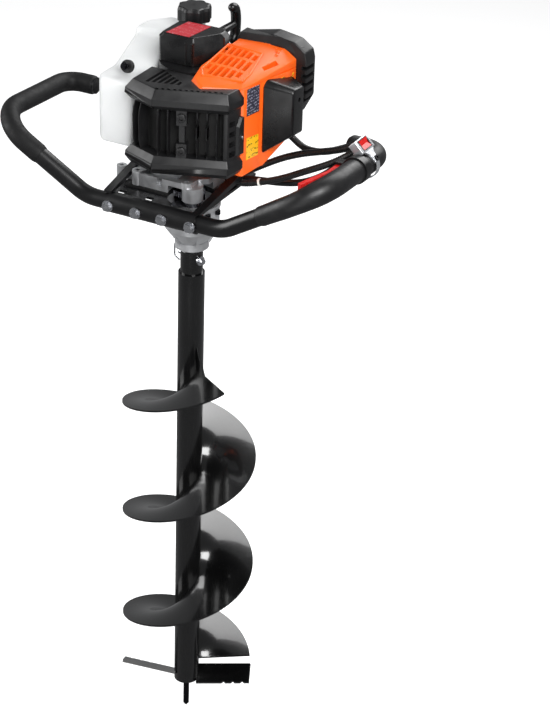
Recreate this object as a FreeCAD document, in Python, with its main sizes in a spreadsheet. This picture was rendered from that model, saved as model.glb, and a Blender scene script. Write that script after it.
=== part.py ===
import FreeCAD, Part
import math
import os
import re
import Sketcher
from types import SimpleNamespace

# Powered auger: a two-stroke powerhead on a handle frame, driving a 200 mm earth and ice bit.
# Millimetres. +Z points up the drilling axis, and the origin is the tip of the pilot drill.
# +X runs along the front bar to the operator's right, and -Y points at the operator.

sizes = {
    # drilling bit
    "bit_dia": 200, "flight_pitch": 188, "flight_thick": 3, "flight_bottom": 93, "flight_top": 623,
    "flight_top_turn": -31, "tube_dia": 38.5, "tube_bottom": 66, "tube_top": 774,
    "collar_dia": 32.6, "collar_top": 812, "collar_bore": 20, "blade_turn": 19.5, "blade_reach": 102,
    "blade_wide": 33, "blade_thick": 5, "blade_tilt": 29, "blade_lift": 8, "blade_height": 61.5,
    "pilot_dia": 9,
    "pilot_shank": 50, "pilot_tip": 6, "clevis_dia": 8, "clevis_height": 797, "clevis_turn": -18,
    "clevis_long": 50, "clip_wire": 2.4, "gusset_size": 18,
    # gearbox and its shafts
    "shaft_dia": 20, "boss_dia": 49, "boss_low": 815, "boss_high": 826, "flare_dia": 78,
    "case_low": 846, "case_wall": 3.5, "case_split": 886, "plate_thick": 4, "case_top": 913,
    "case_wide": 92, "case_centre_x": -47.5, "case_front_y": -13, "case_back_y": 132,
    "crank_x": -50, "crank_y": 88, "gear_gap": 0.35, "module_fine": 1.25, "module_coarse": 1.6,
    "pinion_teeth": 12, "gear_one_teeth": 36, "gear_two_teeth": 38, "gear_out_teeth": 40,
    "gear_thick": 8, "gear_out_low": 866, "gear_two_low": 880, "gear_one_low": 892, "idler_dia": 10,
    "fit_gap": 0.05, "chain_swing": 9,
    # clutch
    "drum_dia": 76, "drum_wall": 3, "drum_low": 918, "drum_high": 938, "shoe_gap": 1.4,
    "hub_dia": 22, "clutch_high": 950,
    # handle frame
    "bar_x": -28, "bar_y": -59, "bar_z": 883, "bar_dia": 30, "sleeve_half": 71, "handle_dia": 25,
    "handle_wall": 1.5, "bolt_outer": 66, "bolt_inner": 21, "bolt_dia": 8, "bend_one": 109.6,
    "bend_one_radius": 57, "grip_half": 258, "grip_y": -66, "grip_z": 974, "bend_two_radius": 54,
    "end_y": 126, "end_z": 964, "bend_end_radius": 26, "stub_long": 50, "foam_dia": 28.5,
    "foam_from": 0.5, "throttle_from": 0.4, "throttle_dia": 33, "rail_wide": 12, "rail_deep": 9,
    "rail_left_x": -107, "rail_right_x": 34, "plate_back_y": 120, "rail_right_back": 66,
    "rail_left_back": 16,
    "rail_rise": 13, "pad_thick": 4,
    # controls
    "lever_long": 87, "lever_high": 13, "lever_y": 46, "lever_gap": 13, "pin_dia": 4,
    "switch_y": 75.5, "switch_long": 37, "switch_wide": 21, "switch_high": 13, "band_wide": 9,
    "rocker_side": 14, "rocker_long": 21, "switch_lean": 44,
    # engine
    "engine_low": 950, "crankcase_dia": 88, "crankcase_top": 1034, "cylinder_z": 992,
    "bore_dia": 44, "fin_side": 70, "fin_count": 9, "fin_thick": 1.6, "cylinder_near": -5,
    "cylinder_far": 56, "stroke": 32, "flywheel_dia": 86, "starter_low": 1056, "starter_high": 1098,
    "pulley_dia": 44, "pulley_thick": 10, "rope_dia": 3.5,
    "guard_left_x": -98, "guard_left_y": -21, "guard_ridge_x": -42, "guard_ridge_y": -36,
    "guard_right_x": 61, "guard_right_y": -2, "guard_low": 931, "guard_high": 1056, "guard_deep": 62,
    "shell_wall": 2.5, "shroud_low": 925, "shroud_high": 1076,
    # tank
    "tank_left_x": -166, "tank_right_x": -101, "tank_front_y": 6, "tank_back_y": 150,
    "tank_low": 938, "tank_mid": 1036, "neck_x": -87, "neck_y": 153, "neck_low": 1074,
    "neck_top": 1101, "neck_dia": 34, "neck_bore": 27, "cap_dia": 50, "cap_high": 22,
    # cables
    "conduit_dia": 10,
}

doc = FreeCAD.newDocument("Auger")
sheet = doc.addObject("Spreadsheet::Sheet", "Sizes")
for row, (alias, value) in enumerate(sizes.items(), start=1):
    sheet.set(f"A{row}", alias)
    sheet.set(f"B{row}", str(value))
    sheet.setAlias(f"B{row}", alias)
doc.recompute()
s = SimpleNamespace(**{alias: float(getattr(sheet, alias)) for alias in sizes})

nodes = {}
Vec = FreeCAD.Vector
upright = FreeCAD.Rotation()
alongX = FreeCAD.Rotation(Vec(0, 1, 0), 90)
alongY = FreeCAD.Rotation(Vec(1, 0, 0), -90)


def linked(text):
    """Point every sheet alias in an expression at the Sizes sheet."""
    return re.sub(r"[a-z][a-z_]+", lambda m: "Sizes." + m.group(0) if m.group(0) in sizes else m.group(0),
                  str(text))


def place(part, x=0, y=0, z=0, turn=upright):
    part.Placement = FreeCAD.Placement(Vec(0, 0, 0), turn)
    for axis, text in zip("xyz", (x, y, z)):
        if str(text) != "0":
            part.setExpression("Placement.Base." + axis, linked(text))
    return part


def rod(name, radius, height, x=0, y=0, z=0, turn=upright):
    part = doc.addObject("Part::Cylinder", name)
    part.setExpression("Radius", linked(radius))
    part.setExpression("Height", linked(height))
    return place(part, x, y, z, turn)


def cone(name, low, high, height, x=0, y=0, z=0, turn=upright):
    part = doc.addObject("Part::Cone", name)
    part.setExpression("Radius1", linked(low))
    part.setExpression("Radius2", linked(high))
    part.setExpression("Height", linked(height))
    return place(part, x, y, z, turn)


def block(name, long, wide, high, x=0, y=0, z=0, turn=upright):
    part = doc.addObject("Part::Box", name)
    for key, text in zip(("Length", "Width", "Height"), (long, wide, high)):
        part.setExpression(key, linked(text))
    return place(part, x, y, z, turn)


def fused(name, pieces):
    part = doc.addObject("Part::MultiFuse", name)
    part.Shapes = pieces
    return part


def minus(name, base, tools):
    part = doc.addObject("Part::Cut", name)
    part.Base = base
    part.Tool = tools[0] if len(tools) == 1 else fused(name + "_hollow", tools)
    return part


def apart(name, pieces):
    """Several like solids that share one node."""
    part = doc.addObject("Part::Compound", name)
    part.Links = pieces
    return part


def outline(body, plane, points):
    """A closed sketch whose every corner is held by two expressions."""
    sketch = body.newObject("Sketcher::SketchObject", body.Name + "_outline")
    base = [f for f in body.Origin.OriginFeatures if f.Role == plane][0]
    sketch.AttachmentSupport = [(base, "")]
    sketch.MapMode = "FlatFace"
    count = len(points)
    for index in range(count):
        angle = 2 * math.pi * index / count
        after = 2 * math.pi * (index + 1) / count
        sketch.addGeometry(Part.LineSegment(Vec(math.cos(angle), math.sin(angle), 0),
                                            Vec(math.cos(after), math.sin(after), 0)), False)
    for index in range(count):
        sketch.addConstraint(Sketcher.Constraint("Coincident", index, 2, (index + 1) % count, 1))
    for index, corner in enumerate(points):
        for kind, text in zip(("DistanceX", "DistanceY"), corner):
            number = sketch.addConstraint(Sketcher.Constraint(kind, -1, 1, index, 1, 1.0))
            sketch.setExpression(f"Constraints[{number}]", linked(text))
    return sketch


def turned(name, points, x=0, y=0, z=0, turn=upright):
    """A body of revolution; each corner is radius, height."""
    body = doc.addObject("PartDesign::Body", name)
    sketch = outline(body, "XZ_Plane", points)
    spin = body.newObject("PartDesign::Revolution", name + "_turned")
    spin.Profile = sketch
    spin.ReferenceAxis = (sketch, ["V_Axis"])
    spin.Angle = 360
    return place(body, x, y, z, turn)


def plate(name, points, height, x=0, y=0, z=0, turn=upright):
    """A flat piece padded up from its outline in X and Y."""
    body = doc.addObject("PartDesign::Body", name)
    sketch = outline(body, "XY_Plane", points)
    pad = body.newObject("PartDesign::Pad", name + "_pad")
    pad.Profile = sketch
    pad.setExpression("Length", linked(height))
    return place(body, x, y, z, turn)


def shaped(name, shape):
    """A piece made with Part's own functions, from sizes read from the sheet."""
    part = doc.addObject("Part::Feature", name)
    part.Shape = shape
    return part


def keep(name, part):
    part.Label = name
    nodes[name] = part
    return part


def polar(radius, degrees):
    return radius * math.cos(math.radians(degrees)), radius * math.sin(math.radians(degrees))


def facePrism(points, low, high):
    corners = [Vec(x, y, low) for x, y in points]
    return Part.Face(Part.makePolygon(corners + corners[:1])).extrude(Vec(0, 0, high - low))


def bentPath(points, radii):
    """Straight runs joined by tangent arcs."""
    points = [Vec(*p) for p in points]
    edges = []
    start = points[0]
    for index in range(1, len(points) - 1):
        corner = points[index]
        back = (points[index - 1] - corner).normalize()
        ahead = (points[index + 1] - corner).normalize()
        half = back.getAngle(ahead) / 2
        run = radii[index - 1] / math.tan(half)
        entry, leave = corner + back * run, corner + ahead * run
        middle = (back + ahead).normalize()
        peak = corner + middle * (radii[index - 1] / math.sin(half) - radii[index - 1])
        edges.append(Part.LineSegment(start, entry).toShape())
        edges.append(Part.Arc(entry, peak, leave).toShape())
        start = leave
    edges.append(Part.LineSegment(start, points[-1]).toShape())
    return Part.Wire(edges)


def swept(path, radius):
    first = path.Edges[0]
    start = first.valueAt(first.FirstParameter)
    ahead = first.tangentAt(first.FirstParameter)
    ring = Part.Wire(Part.Circle(start, ahead, radius).toShape())
    return path.makePipeShell([ring], True, False)


def cordPath(points):
    """Runs joined by arcs as large as the two runs at each point allow."""
    points = [Vec(*p) for p in points]
    radii = []
    for index in range(1, len(points) - 1):
        before = points[index] - points[index - 1]
        after = points[index + 1] - points[index]
        half = before.getAngle(after) / 2
        radii.append(0.45 * min(before.Length, after.Length) / math.tan(half))
    return bentPath(points, radii), radii


# ---- drilling bit ----

def helixFlight(low, high):
    """One stretch of the right-hand flight, between two heights."""
    inner, outer = s.tube_dia / 2 + 0.02, s.bit_dia / 2
    rails = []
    for radius in (inner, outer):
        rail = Part.makeHelix(s.flight_pitch, high - low, radius)
        rails.append(rail.Edges[0])
    sheetFace = Part.makeRuledSurface(rails[0], rails[1])
    solid = sheetFace.extrude(Vec(0, 0, s.flight_thick))
    start = s.flight_top_turn - 360 * (s.flight_top - low) / s.flight_pitch
    solid.rotate(Vec(0, 0, 0), Vec(0, 0, 1), start)
    solid.translate(Vec(0, 0, low - s.flight_thick))
    return solid


flightParts = 3
flightStep = (s.flight_top - s.flight_bottom) / flightParts
for number in range(flightParts):
    low = s.flight_bottom + number * flightStep
    keep(f"flight_{number + 1}", shaped(f"Flight{number + 1}", helixFlight(low, low + flightStep - 0.02)))

keep("drive_tube", turned("DriveTube", [
    ("tube_dia / 2 - 3", "tube_bottom"), ("tube_dia / 2", "tube_bottom"), ("tube_dia / 2", "tube_top"),
    ("collar_bore / 2 + 4", "tube_top"), ("collar_bore / 2 + 4", "tube_top - 30"),
    ("tube_dia / 2 - 3", "tube_top - 30")]))

collarBody = turned("Collar", [
    ("collar_bore / 2 + 0.1", "tube_top - 28"), ("collar_bore / 2 + 3.9", "tube_top - 28"),
    ("collar_bore / 2 + 3.9", "tube_top + 0.02"), ("collar_dia / 2", "tube_top + 0.02"),
    ("collar_dia / 2", "collar_top - 3"), ("collar_dia / 2 - 2", "collar_top"),
    ("collar_bore / 2 + 0.1", "collar_top")])
clevisTurn = FreeCAD.Rotation(Vec(0, 0, 1), s.clevis_turn).multiply(alongX)


def clevisRod(name, radius, long):
    """A rod across the collar, along the clevis pin's line."""
    part = rod(name, radius, long, z="clevis_height", turn=clevisTurn)
    part.setExpression("Placement.Base.x", linked(f"-({long}) / 2 * cos(clevis_turn * 1deg)"))
    part.setExpression("Placement.Base.y", linked(f"-({long}) / 2 * sin(clevis_turn * 1deg)"))
    return part


keep("collar", minus("CollarDrilled", collarBody, [clevisRod("CollarHole", "clevis_dia / 2 + 0.1", "60")]))
pinHead = clevisRod("PinHead", "clevis_dia / 2 + 3", "3")
for axis, wave in (("x", "cos"), ("y", "sin")):
    pinHead.setExpression("Placement.Base." + axis,
                          linked(f"(collar_dia / 2 + 0.5) * {wave}(clevis_turn * 1deg)"))
pinDrilled = minus("PinDrilled", clevisRod("PinShank", "clevis_dia / 2", "clevis_long"),
                   [rod("PinHole", "clip_wire / 2 + 0.1", "30",
                        "-(clevis_long / 2 - 4) * cos(clevis_turn * 1deg)",
                        "-(clevis_long / 2 - 4) * sin(clevis_turn * 1deg)", "clevis_height - 15")])
keep("clevis_pin", fused("ClevisPin", [pinDrilled, pinHead]))

clipX, clipY = polar(-(s.clevis_long / 2 - 4), s.clevis_turn)
clipReach = 12
clipPath = bentPath([(clipX, clipY, s.clevis_height - 12), (clipX, clipY, s.clevis_height + 13),
                     (clipX - clipReach, clipY, s.clevis_height + 13),
                     (clipX - clipReach, clipY, s.clevis_height - 8),
                     (clipX - 3.5, clipY, s.clevis_height - 14)], [5.5, 5.5, 4])
keep("r_clip", shaped("RClip", swept(clipPath, s.clip_wire / 2)))

gussets = []
for number in range(flightParts):
    turn = 148
    height = s.flight_top - ((s.flight_top_turn - turn) % 360) / 360 * s.flight_pitch - number * s.flight_pitch
    inner = s.tube_dia / 2 + 0.05
    top = height - s.flight_thick - 1.8
    web = Part.Face(Part.makePolygon([Vec(inner, -1.5, top), Vec(inner + s.gusset_size, -1.5, top),
                                      Vec(inner, -1.5, top - s.gusset_size), Vec(inner, -1.5, top)]))
    web = web.extrude(Vec(0, 3, 0))
    web.rotate(Vec(0, 0, 0), Vec(0, 0, 1), turn)
    gussets.append(web)
keep("flight_gussets", shaped("Gussets", Part.makeCompound(gussets)))


def cuttingBlade(turn):
    """A tilted fishtail blade from the hub to the bit's radius, with teeth near the tip of its lower edge."""
    reach, wide = s.blade_reach, s.blade_wide
    blade = facePrism([(17, -wide / 2), (reach, -wide / 2), (reach, wide / 2), (17, wide / 2)], 0,
                      s.blade_thick)
    for step in range(3):
        near = 56 + 15 * step
        notch = facePrism([(near, -wide / 2 - 1), (near + 5, -wide / 2 + 3), (near + 8, -wide / 2 - 1)], -1,
                          s.blade_thick + 1)
        blade = blade.cut(notch)
    blade.translate(Vec(0, 0, -s.blade_thick / 2))
    blade.rotate(Vec(0, 0, 0), Vec(1, 0, 0), s.blade_tilt)
    blade.rotate(Vec(0, 0, 0), Vec(0, 1, 0), -s.blade_lift)
    blade.translate(Vec(0, 0, s.blade_height))
    blade.rotate(Vec(0, 0, 0), Vec(0, 0, 1), turn)
    return blade


hubTop, hubLow = s.tube_bottom - 0.02, s.tube_bottom - 9
bladeHub = Part.makeCylinder(s.tube_dia / 2, hubTop - hubLow, Vec(0, 0, hubLow))
clearTube = Part.makeCylinder(s.tube_dia / 2 + 0.05, 60, Vec(0, 0, hubTop))
shankHole = Part.makeCylinder(s.pilot_dia / 2 - 0.48, 60, Vec(0, 0, 30))
blades = bladeHub.fuse([cuttingBlade(s.blade_turn), cuttingBlade(s.blade_turn + 180)])
flightClear = helixFlight(s.flight_bottom, s.flight_bottom + 40)
blades = blades.cut(clearTube).cut(shankHole).cut(flightClear)
keep("cutting_blades", shaped("Blades", blades.removeSplitter()))
keep("pilot_drill", turned("PilotDrill", [
    ("0", "0"), ("pilot_dia / 2", "pilot_tip"), ("pilot_dia / 2", "pilot_shank"),
    ("pilot_dia / 2 - 0.5", "pilot_shank"), ("pilot_dia / 2 - 0.5", "tube_bottom - 0.5"),
    ("0", "tube_bottom - 0.5")]))

# ---- output shaft and gears ----

keep("output_shaft", minus("OutputShaftDrilled", turned("OutputShaft", [
    ("0", "tube_top - 26"), ("shaft_dia / 2", "tube_top - 26"), ("shaft_dia / 2", "case_split + 8"),
    ("0", "case_split + 8")]), [clevisRod("ShaftHole", "clevis_dia / 2 + 0.1", "50")]))


def gearShape(teeth, module, low, thick, bore, centre, start):
    """An involute spur gear; start is the angle of one tooth's middle."""
    pitch, base = module * teeth / 2, module * teeth / 2 * math.cos(math.radians(20))
    tip, root = pitch + 0.9 * module, pitch - 1.2 * module
    involute20 = math.tan(math.radians(20)) - math.radians(20)
    half = math.pi / 2 / teeth + involute20 - s.gear_gap * 0.25 / pitch
    corners = []
    steps = 4
    for tooth in range(teeth):
        middle = math.radians(start) + 2 * math.pi * tooth / teeth
        first = max(base, root)
        for side in (-1, 1):
            flank = []
            for step in range(steps + 1):
                radius = first + (tip - first) * step / steps
                roll = math.acos(min(1.0, base / radius))
                lean = half - (math.tan(roll) - roll)
                flank.append((radius, middle + side * lean))
            if root < base:
                flank.insert(0, (root, middle + side * half))
            corners += flank if side < 0 else flank[::-1]
    ring = [Vec(r * math.cos(a), r * math.sin(a), 0) for r, a in corners]
    solid = Part.Face(Part.makePolygon(ring + ring[:1])).extrude(Vec(0, 0, thick))
    if bore > 0:
        solid = solid.cut(Part.makeCylinder(bore, thick + 2, Vec(0, 0, -1)))
    solid.translate(Vec(centre[0], centre[1], low))
    return solid


def meshStart(teeth, driveTeeth, driveStart, direction):
    """The start angle that sets a gear in mesh with its driver, seen along direction."""
    drivePhase = (direction - driveStart) / (360 / driveTeeth)
    return direction + 180 - (0.5 - drivePhase) * 360 / teeth


def meetPoint(first, reachOne, second, reachTwo, side):
    """The point at two given distances from two centres."""
    dx, dy = second[0] - first[0], second[1] - first[1]
    gap = math.hypot(dx, dy)
    along = (reachOne ** 2 - reachTwo ** 2 + gap ** 2) / (2 * gap)
    off = math.sqrt(max(0.0, reachOne ** 2 - along ** 2)) * side
    return first[0] + (dx * along - dy * off) / gap, first[1] + (dy * along + dx * off) / gap


small = int(s.pinion_teeth)
oneTeeth, twoTeeth, outTeeth = int(s.gear_one_teeth), int(s.gear_two_teeth), int(s.gear_out_teeth)
axisOut = (0.0, 0.0)
crank = (s.crank_x, s.crank_y)
spanOut = s.module_coarse * (small + outTeeth) / 2
spanTwo = s.module_fine * (small + twoTeeth) / 2
spanOne = s.module_fine * (small + oneTeeth) / 2
towardCrank = math.degrees(math.atan2(crank[1], crank[0]))
idlerTwo = polar(spanOut, towardCrank + s.chain_swing)
idlerOne = meetPoint(idlerTwo, spanTwo, crank, spanOne, -1)
bearingAt = math.hypot(idlerOne[0] - crank[0], idlerOne[1] - crank[1])
assert abs(bearingAt - spanOne) < 0.05, "the gear train does not reach from the output to the crank"


def heading(start, end):
    return math.degrees(math.atan2(end[1] - start[1], end[0] - start[0]))


outStart = 0.0
pinionThreeStart = meshStart(small, outTeeth, outStart, heading(axisOut, idlerTwo))
gearTwoStart = pinionThreeStart
pinionTwoStart = meshStart(small, twoTeeth, gearTwoStart, heading(idlerTwo, idlerOne))
gearOneStart = pinionTwoStart
pinionOneStart = meshStart(small, oneTeeth, gearOneStart, heading(idlerOne, crank))

outputGear = gearShape(outTeeth, s.module_coarse, s.gear_out_low, s.gear_thick, s.shaft_dia / 2 + 0.02,
                       axisOut, outStart)
keep("output_gear", shaped("OutputGear", outputGear))


def idlerShape(centre, bigTeeth, bigLow, bigStart, smallModule, smallLow, smallStart, low, high):
    """A shaft with a wheel that is driven and a pinion that drives the next one down."""
    wheel = gearShape(bigTeeth, s.module_fine, bigLow, s.gear_thick, 0, centre, bigStart)
    pinion = gearShape(small, smallModule, smallLow, s.gear_thick, 0, centre, smallStart)
    shaft = Part.makeCylinder(s.idler_dia / 2, high - low, Vec(centre[0], centre[1], low))
    neck = Part.makeCylinder(s.idler_dia / 2 - 0.2, abs(bigLow - smallLow),
                             Vec(centre[0], centre[1], smallLow))
    return wheel.fuse([pinion, shaft, neck]).removeSplitter()


idlerTwoLow, idlerTwoHigh = s.case_low + 2, s.gear_two_low + s.gear_thick + 6
idlerOneLow, idlerOneHigh = s.gear_two_low - 12, s.gear_one_low + s.gear_thick + 6
keep("idler_two", shaped("IdlerTwo", idlerShape(idlerTwo, twoTeeth, s.gear_two_low, gearTwoStart,
                                                s.module_coarse,
                                               s.gear_out_low, pinionThreeStart, idlerTwoLow, idlerTwoHigh)))
keep("idler_one", shaped("IdlerOne", idlerShape(idlerOne, oneTeeth, s.gear_one_low, gearOneStart,
                                                s.module_fine,
                                               s.gear_two_low, pinionTwoStart, idlerOneLow, idlerOneHigh)))

drumCup = Part.makeCylinder(s.drum_dia / 2, s.drum_high - s.drum_low, Vec(*crank, s.drum_low))
drumCup = drumCup.cut(Part.makeCylinder(s.drum_dia / 2 - s.drum_wall, 40,
                                        Vec(*crank, s.drum_low + s.drum_wall)))
drumShaft = Part.makeCylinder(s.idler_dia / 2, s.drum_low - s.gear_one_low + 9,
                              Vec(*crank, s.gear_one_low - 8))
drumPinion = gearShape(small, s.module_fine, s.gear_one_low, s.gear_thick, 0, crank, pinionOneStart)
keep("clutch_drum", shaped("ClutchDrum", drumCup.fuse([drumShaft, drumPinion]).removeSplitter()))

# ---- gearbox castings ----

gearRooms = [(axisOut, s.module_coarse * outTeeth / 2, s.gear_out_low),
             (idlerTwo, s.module_fine * twoTeeth / 2, s.gear_two_low),
             (idlerOne, s.module_fine * oneTeeth / 2, s.gear_one_low),
             (crank, s.module_fine * small / 2, s.gear_one_low)]
tipRoom = 3.2


def room(centre, radius, low, high):
    return Part.makeCylinder(radius, high - low, Vec(centre[0], centre[1], low))


def lane(first, second, half, low, high):
    """A straight slot between two shaft centres."""
    angle = math.radians(heading(first, second))
    ox, oy = -math.sin(angle) * half, math.cos(angle) * half
    return facePrism([(first[0] + ox, first[1] + oy), (second[0] + ox, second[1] + oy),
                      (second[0] - ox, second[1] - oy), (first[0] - ox, first[1] - oy)], low, high)


floorTop = s.case_low + s.case_wall + 2
hollow = [room(axisOut, gearRooms[0][1] + tipRoom, floorTop, s.case_top - 8),
          room(idlerTwo, gearRooms[1][1] + tipRoom, floorTop, s.case_top - 8),
          room(idlerOne, gearRooms[2][1] + tipRoom, floorTop, s.case_top - 8),
          room(crank, gearRooms[3][1] + tipRoom, s.case_split - 8, s.case_top - 8),
          lane(idlerTwo, idlerOne, gearRooms[2][1], floorTop, s.case_top - 8)]
hollow = hollow[0].fuse(hollow[1:])

wall = s.case_wall
shell = [room(axisOut, gearRooms[0][1] + tipRoom + wall, s.case_low, s.case_split),
         room(idlerTwo, gearRooms[1][1] + tipRoom + wall, s.case_low, s.case_split),
         room(idlerOne, gearRooms[2][1] + tipRoom + wall, s.case_low, s.case_split),
         room(crank, gearRooms[3][1] + tipRoom + wall, s.case_split - 14, s.case_split),
         lane(idlerTwo, idlerOne, gearRooms[2][1] + wall, s.case_low, s.case_split)]
flangeLow, flangeGrow = s.case_split - 6, 5
shell += [room(c, r + tipRoom + wall + flangeGrow, flangeLow, s.case_split) for c, r, _ in gearRooms[1:]]
shell += [room(axisOut, gearRooms[0][1] + tipRoom + wall + 1.5, flangeLow, s.case_split)]
flareTop = gearRooms[0][1] + tipRoom + wall
boss = Part.makeCylinder(s.boss_dia / 2, s.boss_high - s.boss_low, Vec(0, 0, s.boss_low))
flare = Part.makeCone(s.boss_dia / 2 - 1, flareTop, s.case_low - s.boss_high, Vec(0, 0, s.boss_high))
ribs = []
for number in range(6):
    rib = Part.Face(Part.makePolygon([Vec(s.boss_dia / 2 - 4, -1.6, s.boss_low + 5),
                                      Vec(s.boss_dia / 2 + 2.5, -1.6,
                                      s.boss_high - 2), Vec(flareTop, -1.6, s.case_low + 2),
                                      Vec(s.boss_dia / 2 - 4, -1.6, s.case_low + 2),
                                      Vec(s.boss_dia / 2 - 4, -1.6, s.boss_low + 5)])).extrude(Vec(0, 3.2,
                                                                                                   0))
    rib.rotate(Vec(0, 0, 0), Vec(0, 0, 1), 60 * number + 15)
    ribs.append(rib)
lowerCase = shell[0].fuse(shell[1:] + [boss, flare] + ribs).cut(hollow)
lowerCase = lowerCase.cut(Part.makeCylinder(s.shaft_dia / 2 + s.fit_gap, 100, Vec(0, 0, s.boss_low - 1)))
lowerCase = lowerCase.cut(Part.makeCylinder(s.collar_dia / 2 + 2, 3, Vec(0, 0, s.boss_low - 3)))
lowerCase = lowerCase.cut(Part.makeCylinder(s.idler_dia / 2 + s.fit_gap, 60,
                                            Vec(*idlerTwo, idlerTwoLow - 0.3)))
lowerCase = lowerCase.cut(Part.makeBox(200, 40, 80, Vec(-100, s.bar_y - 19.5, s.case_low - 10)))
keep("gearcase_lower", shaped("GearcaseLower", lowerCase))

plateTop = s.case_split + s.plate_thick
padTop = plateTop + s.pad_thick
half = s.case_wide / 2
caseLeft, caseRight = s.case_centre_x - half, s.case_centre_x + half
upperOutline = [(caseLeft, s.case_front_y + 4), (caseLeft + 8, s.case_front_y),
                (caseRight - 6, s.case_front_y),
                (caseRight + 2, s.case_front_y + 6), (caseRight + 4, 12), (caseRight + 16, 22),
                (caseRight + 18, 60), (caseRight + 4, 84), (caseRight - 2, s.case_back_y),
                (caseLeft, s.case_back_y)]
upper = facePrism(upperOutline, padTop, s.case_top)
recess = facePrism([(caseLeft + 16, s.case_front_y + 4), (caseRight - 22, s.case_front_y + 4),
                    (caseRight - 22, 12), (caseLeft + 16, 12)], s.case_top - 6, s.case_top + 1)
notch = facePrism([(s.case_centre_x - 3, s.case_front_y - 1), (s.case_centre_x + 5, s.case_front_y - 1),
                   (s.case_centre_x + 5, s.case_front_y + 5), (s.case_centre_x - 3, s.case_front_y + 5)],
                  padTop + 7, s.case_top + 1)
bossSpots = [(caseLeft + 8, s.case_front_y + 6), (caseRight - 4, s.case_front_y + 6),
             (caseLeft + 7, s.case_back_y - 7), (caseRight - 8, s.case_back_y - 7)]
bosses = [Part.makeCylinder(8, s.case_top + 2 - padTop, Vec(x, y, padTop)) for x, y in bossSpots]
lugSpot = (caseLeft - 26, 6)
lug = Part.makeCylinder(7.5, 19, Vec(*lugSpot, padTop - 3))
lugArm = facePrism([(caseLeft - 26, 0), (caseLeft + 2, 8), (caseLeft + 2, 22), (caseLeft - 26, 12)],
                   padTop - 3, padTop + 3)
upper = upper.cut(recess.fuse(notch)).fuse([lug, lugArm] + bosses).cut(hollow)
upper = upper.fuse([room(idlerTwo, 7, s.gear_two_low + s.gear_thick + 1, s.case_top - 6)])
upper = upper.fuse([room(axisOut, 15, s.gear_out_low + s.gear_thick + 12, s.case_top - 6)])
screwHoles = [Part.makeCylinder(3.2, 60, Vec(x, y, padTop - 10)) for x, y in bossSpots + [lugSpot]]
bores = [room(idlerTwo, s.idler_dia / 2 + s.fit_gap, s.gear_two_low, idlerTwoHigh + 0.5),
         room(idlerOne, s.idler_dia / 2 + s.fit_gap, s.gear_one_low, idlerOneHigh + 0.5),
         room(crank, s.idler_dia / 2 + s.fit_gap, s.gear_one_low, s.case_top + 5),
         room(axisOut, s.shaft_dia / 2 + s.fit_gap, s.case_split - 8, s.case_split + 10)]
upper = upper.cut(Part.makeCompound(screwHoles + bores))
keep("gearcase_upper", shaped("GearcaseUpper", upper.removeSplitter()))

caseScrews = []
screwPlaces = [(axisOut, 0, 0), (axisOut, 0, -28), (idlerTwo, 1, 20), (idlerTwo, 1, 200),
               (idlerOne, 2, 30), (idlerOne, 2, 185)]
for centre, index, angle in screwPlaces:
    away = gearRooms[index][1] + tipRoom + wall + (2.2 if index == 0 else 3)
    dx, dy = polar(away, angle)
    spot = Vec(centre[0] + dx, centre[1] + dy, flangeLow - 6)
    caseScrews.append(Part.makeCylinder(4, 5.9, spot).cut(Part.makeCylinder(2, 3, spot)))
keep("gearcase_screws", shaped("GearcaseScrews", Part.makeCompound(caseScrews).cut(
    nodes["gearcase_lower"].Shape)))

# ---- clutch ----

clutchWall = 4
clutchBody = Part.makeCylinder(s.drum_dia / 2 + 8, s.clutch_high - s.case_top - 0.02,
                               Vec(*crank, s.case_top + 0.02))
for dx, dy in ((-34, -34), (34, -34), (-34, 34), (34, 34)):
    clutchBody = clutchBody.fuse(Part.makeCylinder(8, s.clutch_high - s.case_top - 0.02,
                                                   Vec(crank[0] + dx, crank[1] + dy, s.case_top + 0.02)))
clutchBody = clutchBody.cut(Part.makeCylinder(s.drum_dia / 2 + 3, 60, Vec(*crank, s.drum_low - 1)))
clutchBody = clutchBody.cut(Part.makeCylinder(s.idler_dia / 2 + s.fit_gap, 60, Vec(*crank, s.case_top - 20)))
bossTops = Part.makeCompound([Part.makeCylinder(8.3, 40, Vec(x, y, s.case_top - 20)) for x, y in bossSpots])
keep("clutch_housing", shaped("ClutchHousing", clutchBody.cut(bossTops)))
shoeOuter = s.drum_dia / 2 - s.drum_wall - s.shoe_gap
shoeLow, shoeHigh = s.drum_low + s.drum_wall + 1, s.drum_high - 2
for name, side in (("clutch_shoe_front", -1), ("clutch_shoe_back", 1)):
    shoe = Part.makeCylinder(shoeOuter, shoeHigh - shoeLow, Vec(*crank, shoeLow))
    shoe = shoe.cut(Part.makeCylinder(s.hub_dia / 2 + 4, 40, Vec(*crank, shoeLow - 5)))
    near, far = sorted((crank[1] + side * 5, crank[1] + side * 60))
    shoe = shoe.common(facePrism([(crank[0] - 60, near), (crank[0] + 60, near), (crank[0] + 60, far),
                                  (crank[0] - 60, far)], shoeLow - 1, shoeHigh + 1))
    keep(name, shaped(name.replace("_", "").title(), shoe))

# ---- crankshaft, cylinder and piston ----

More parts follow.
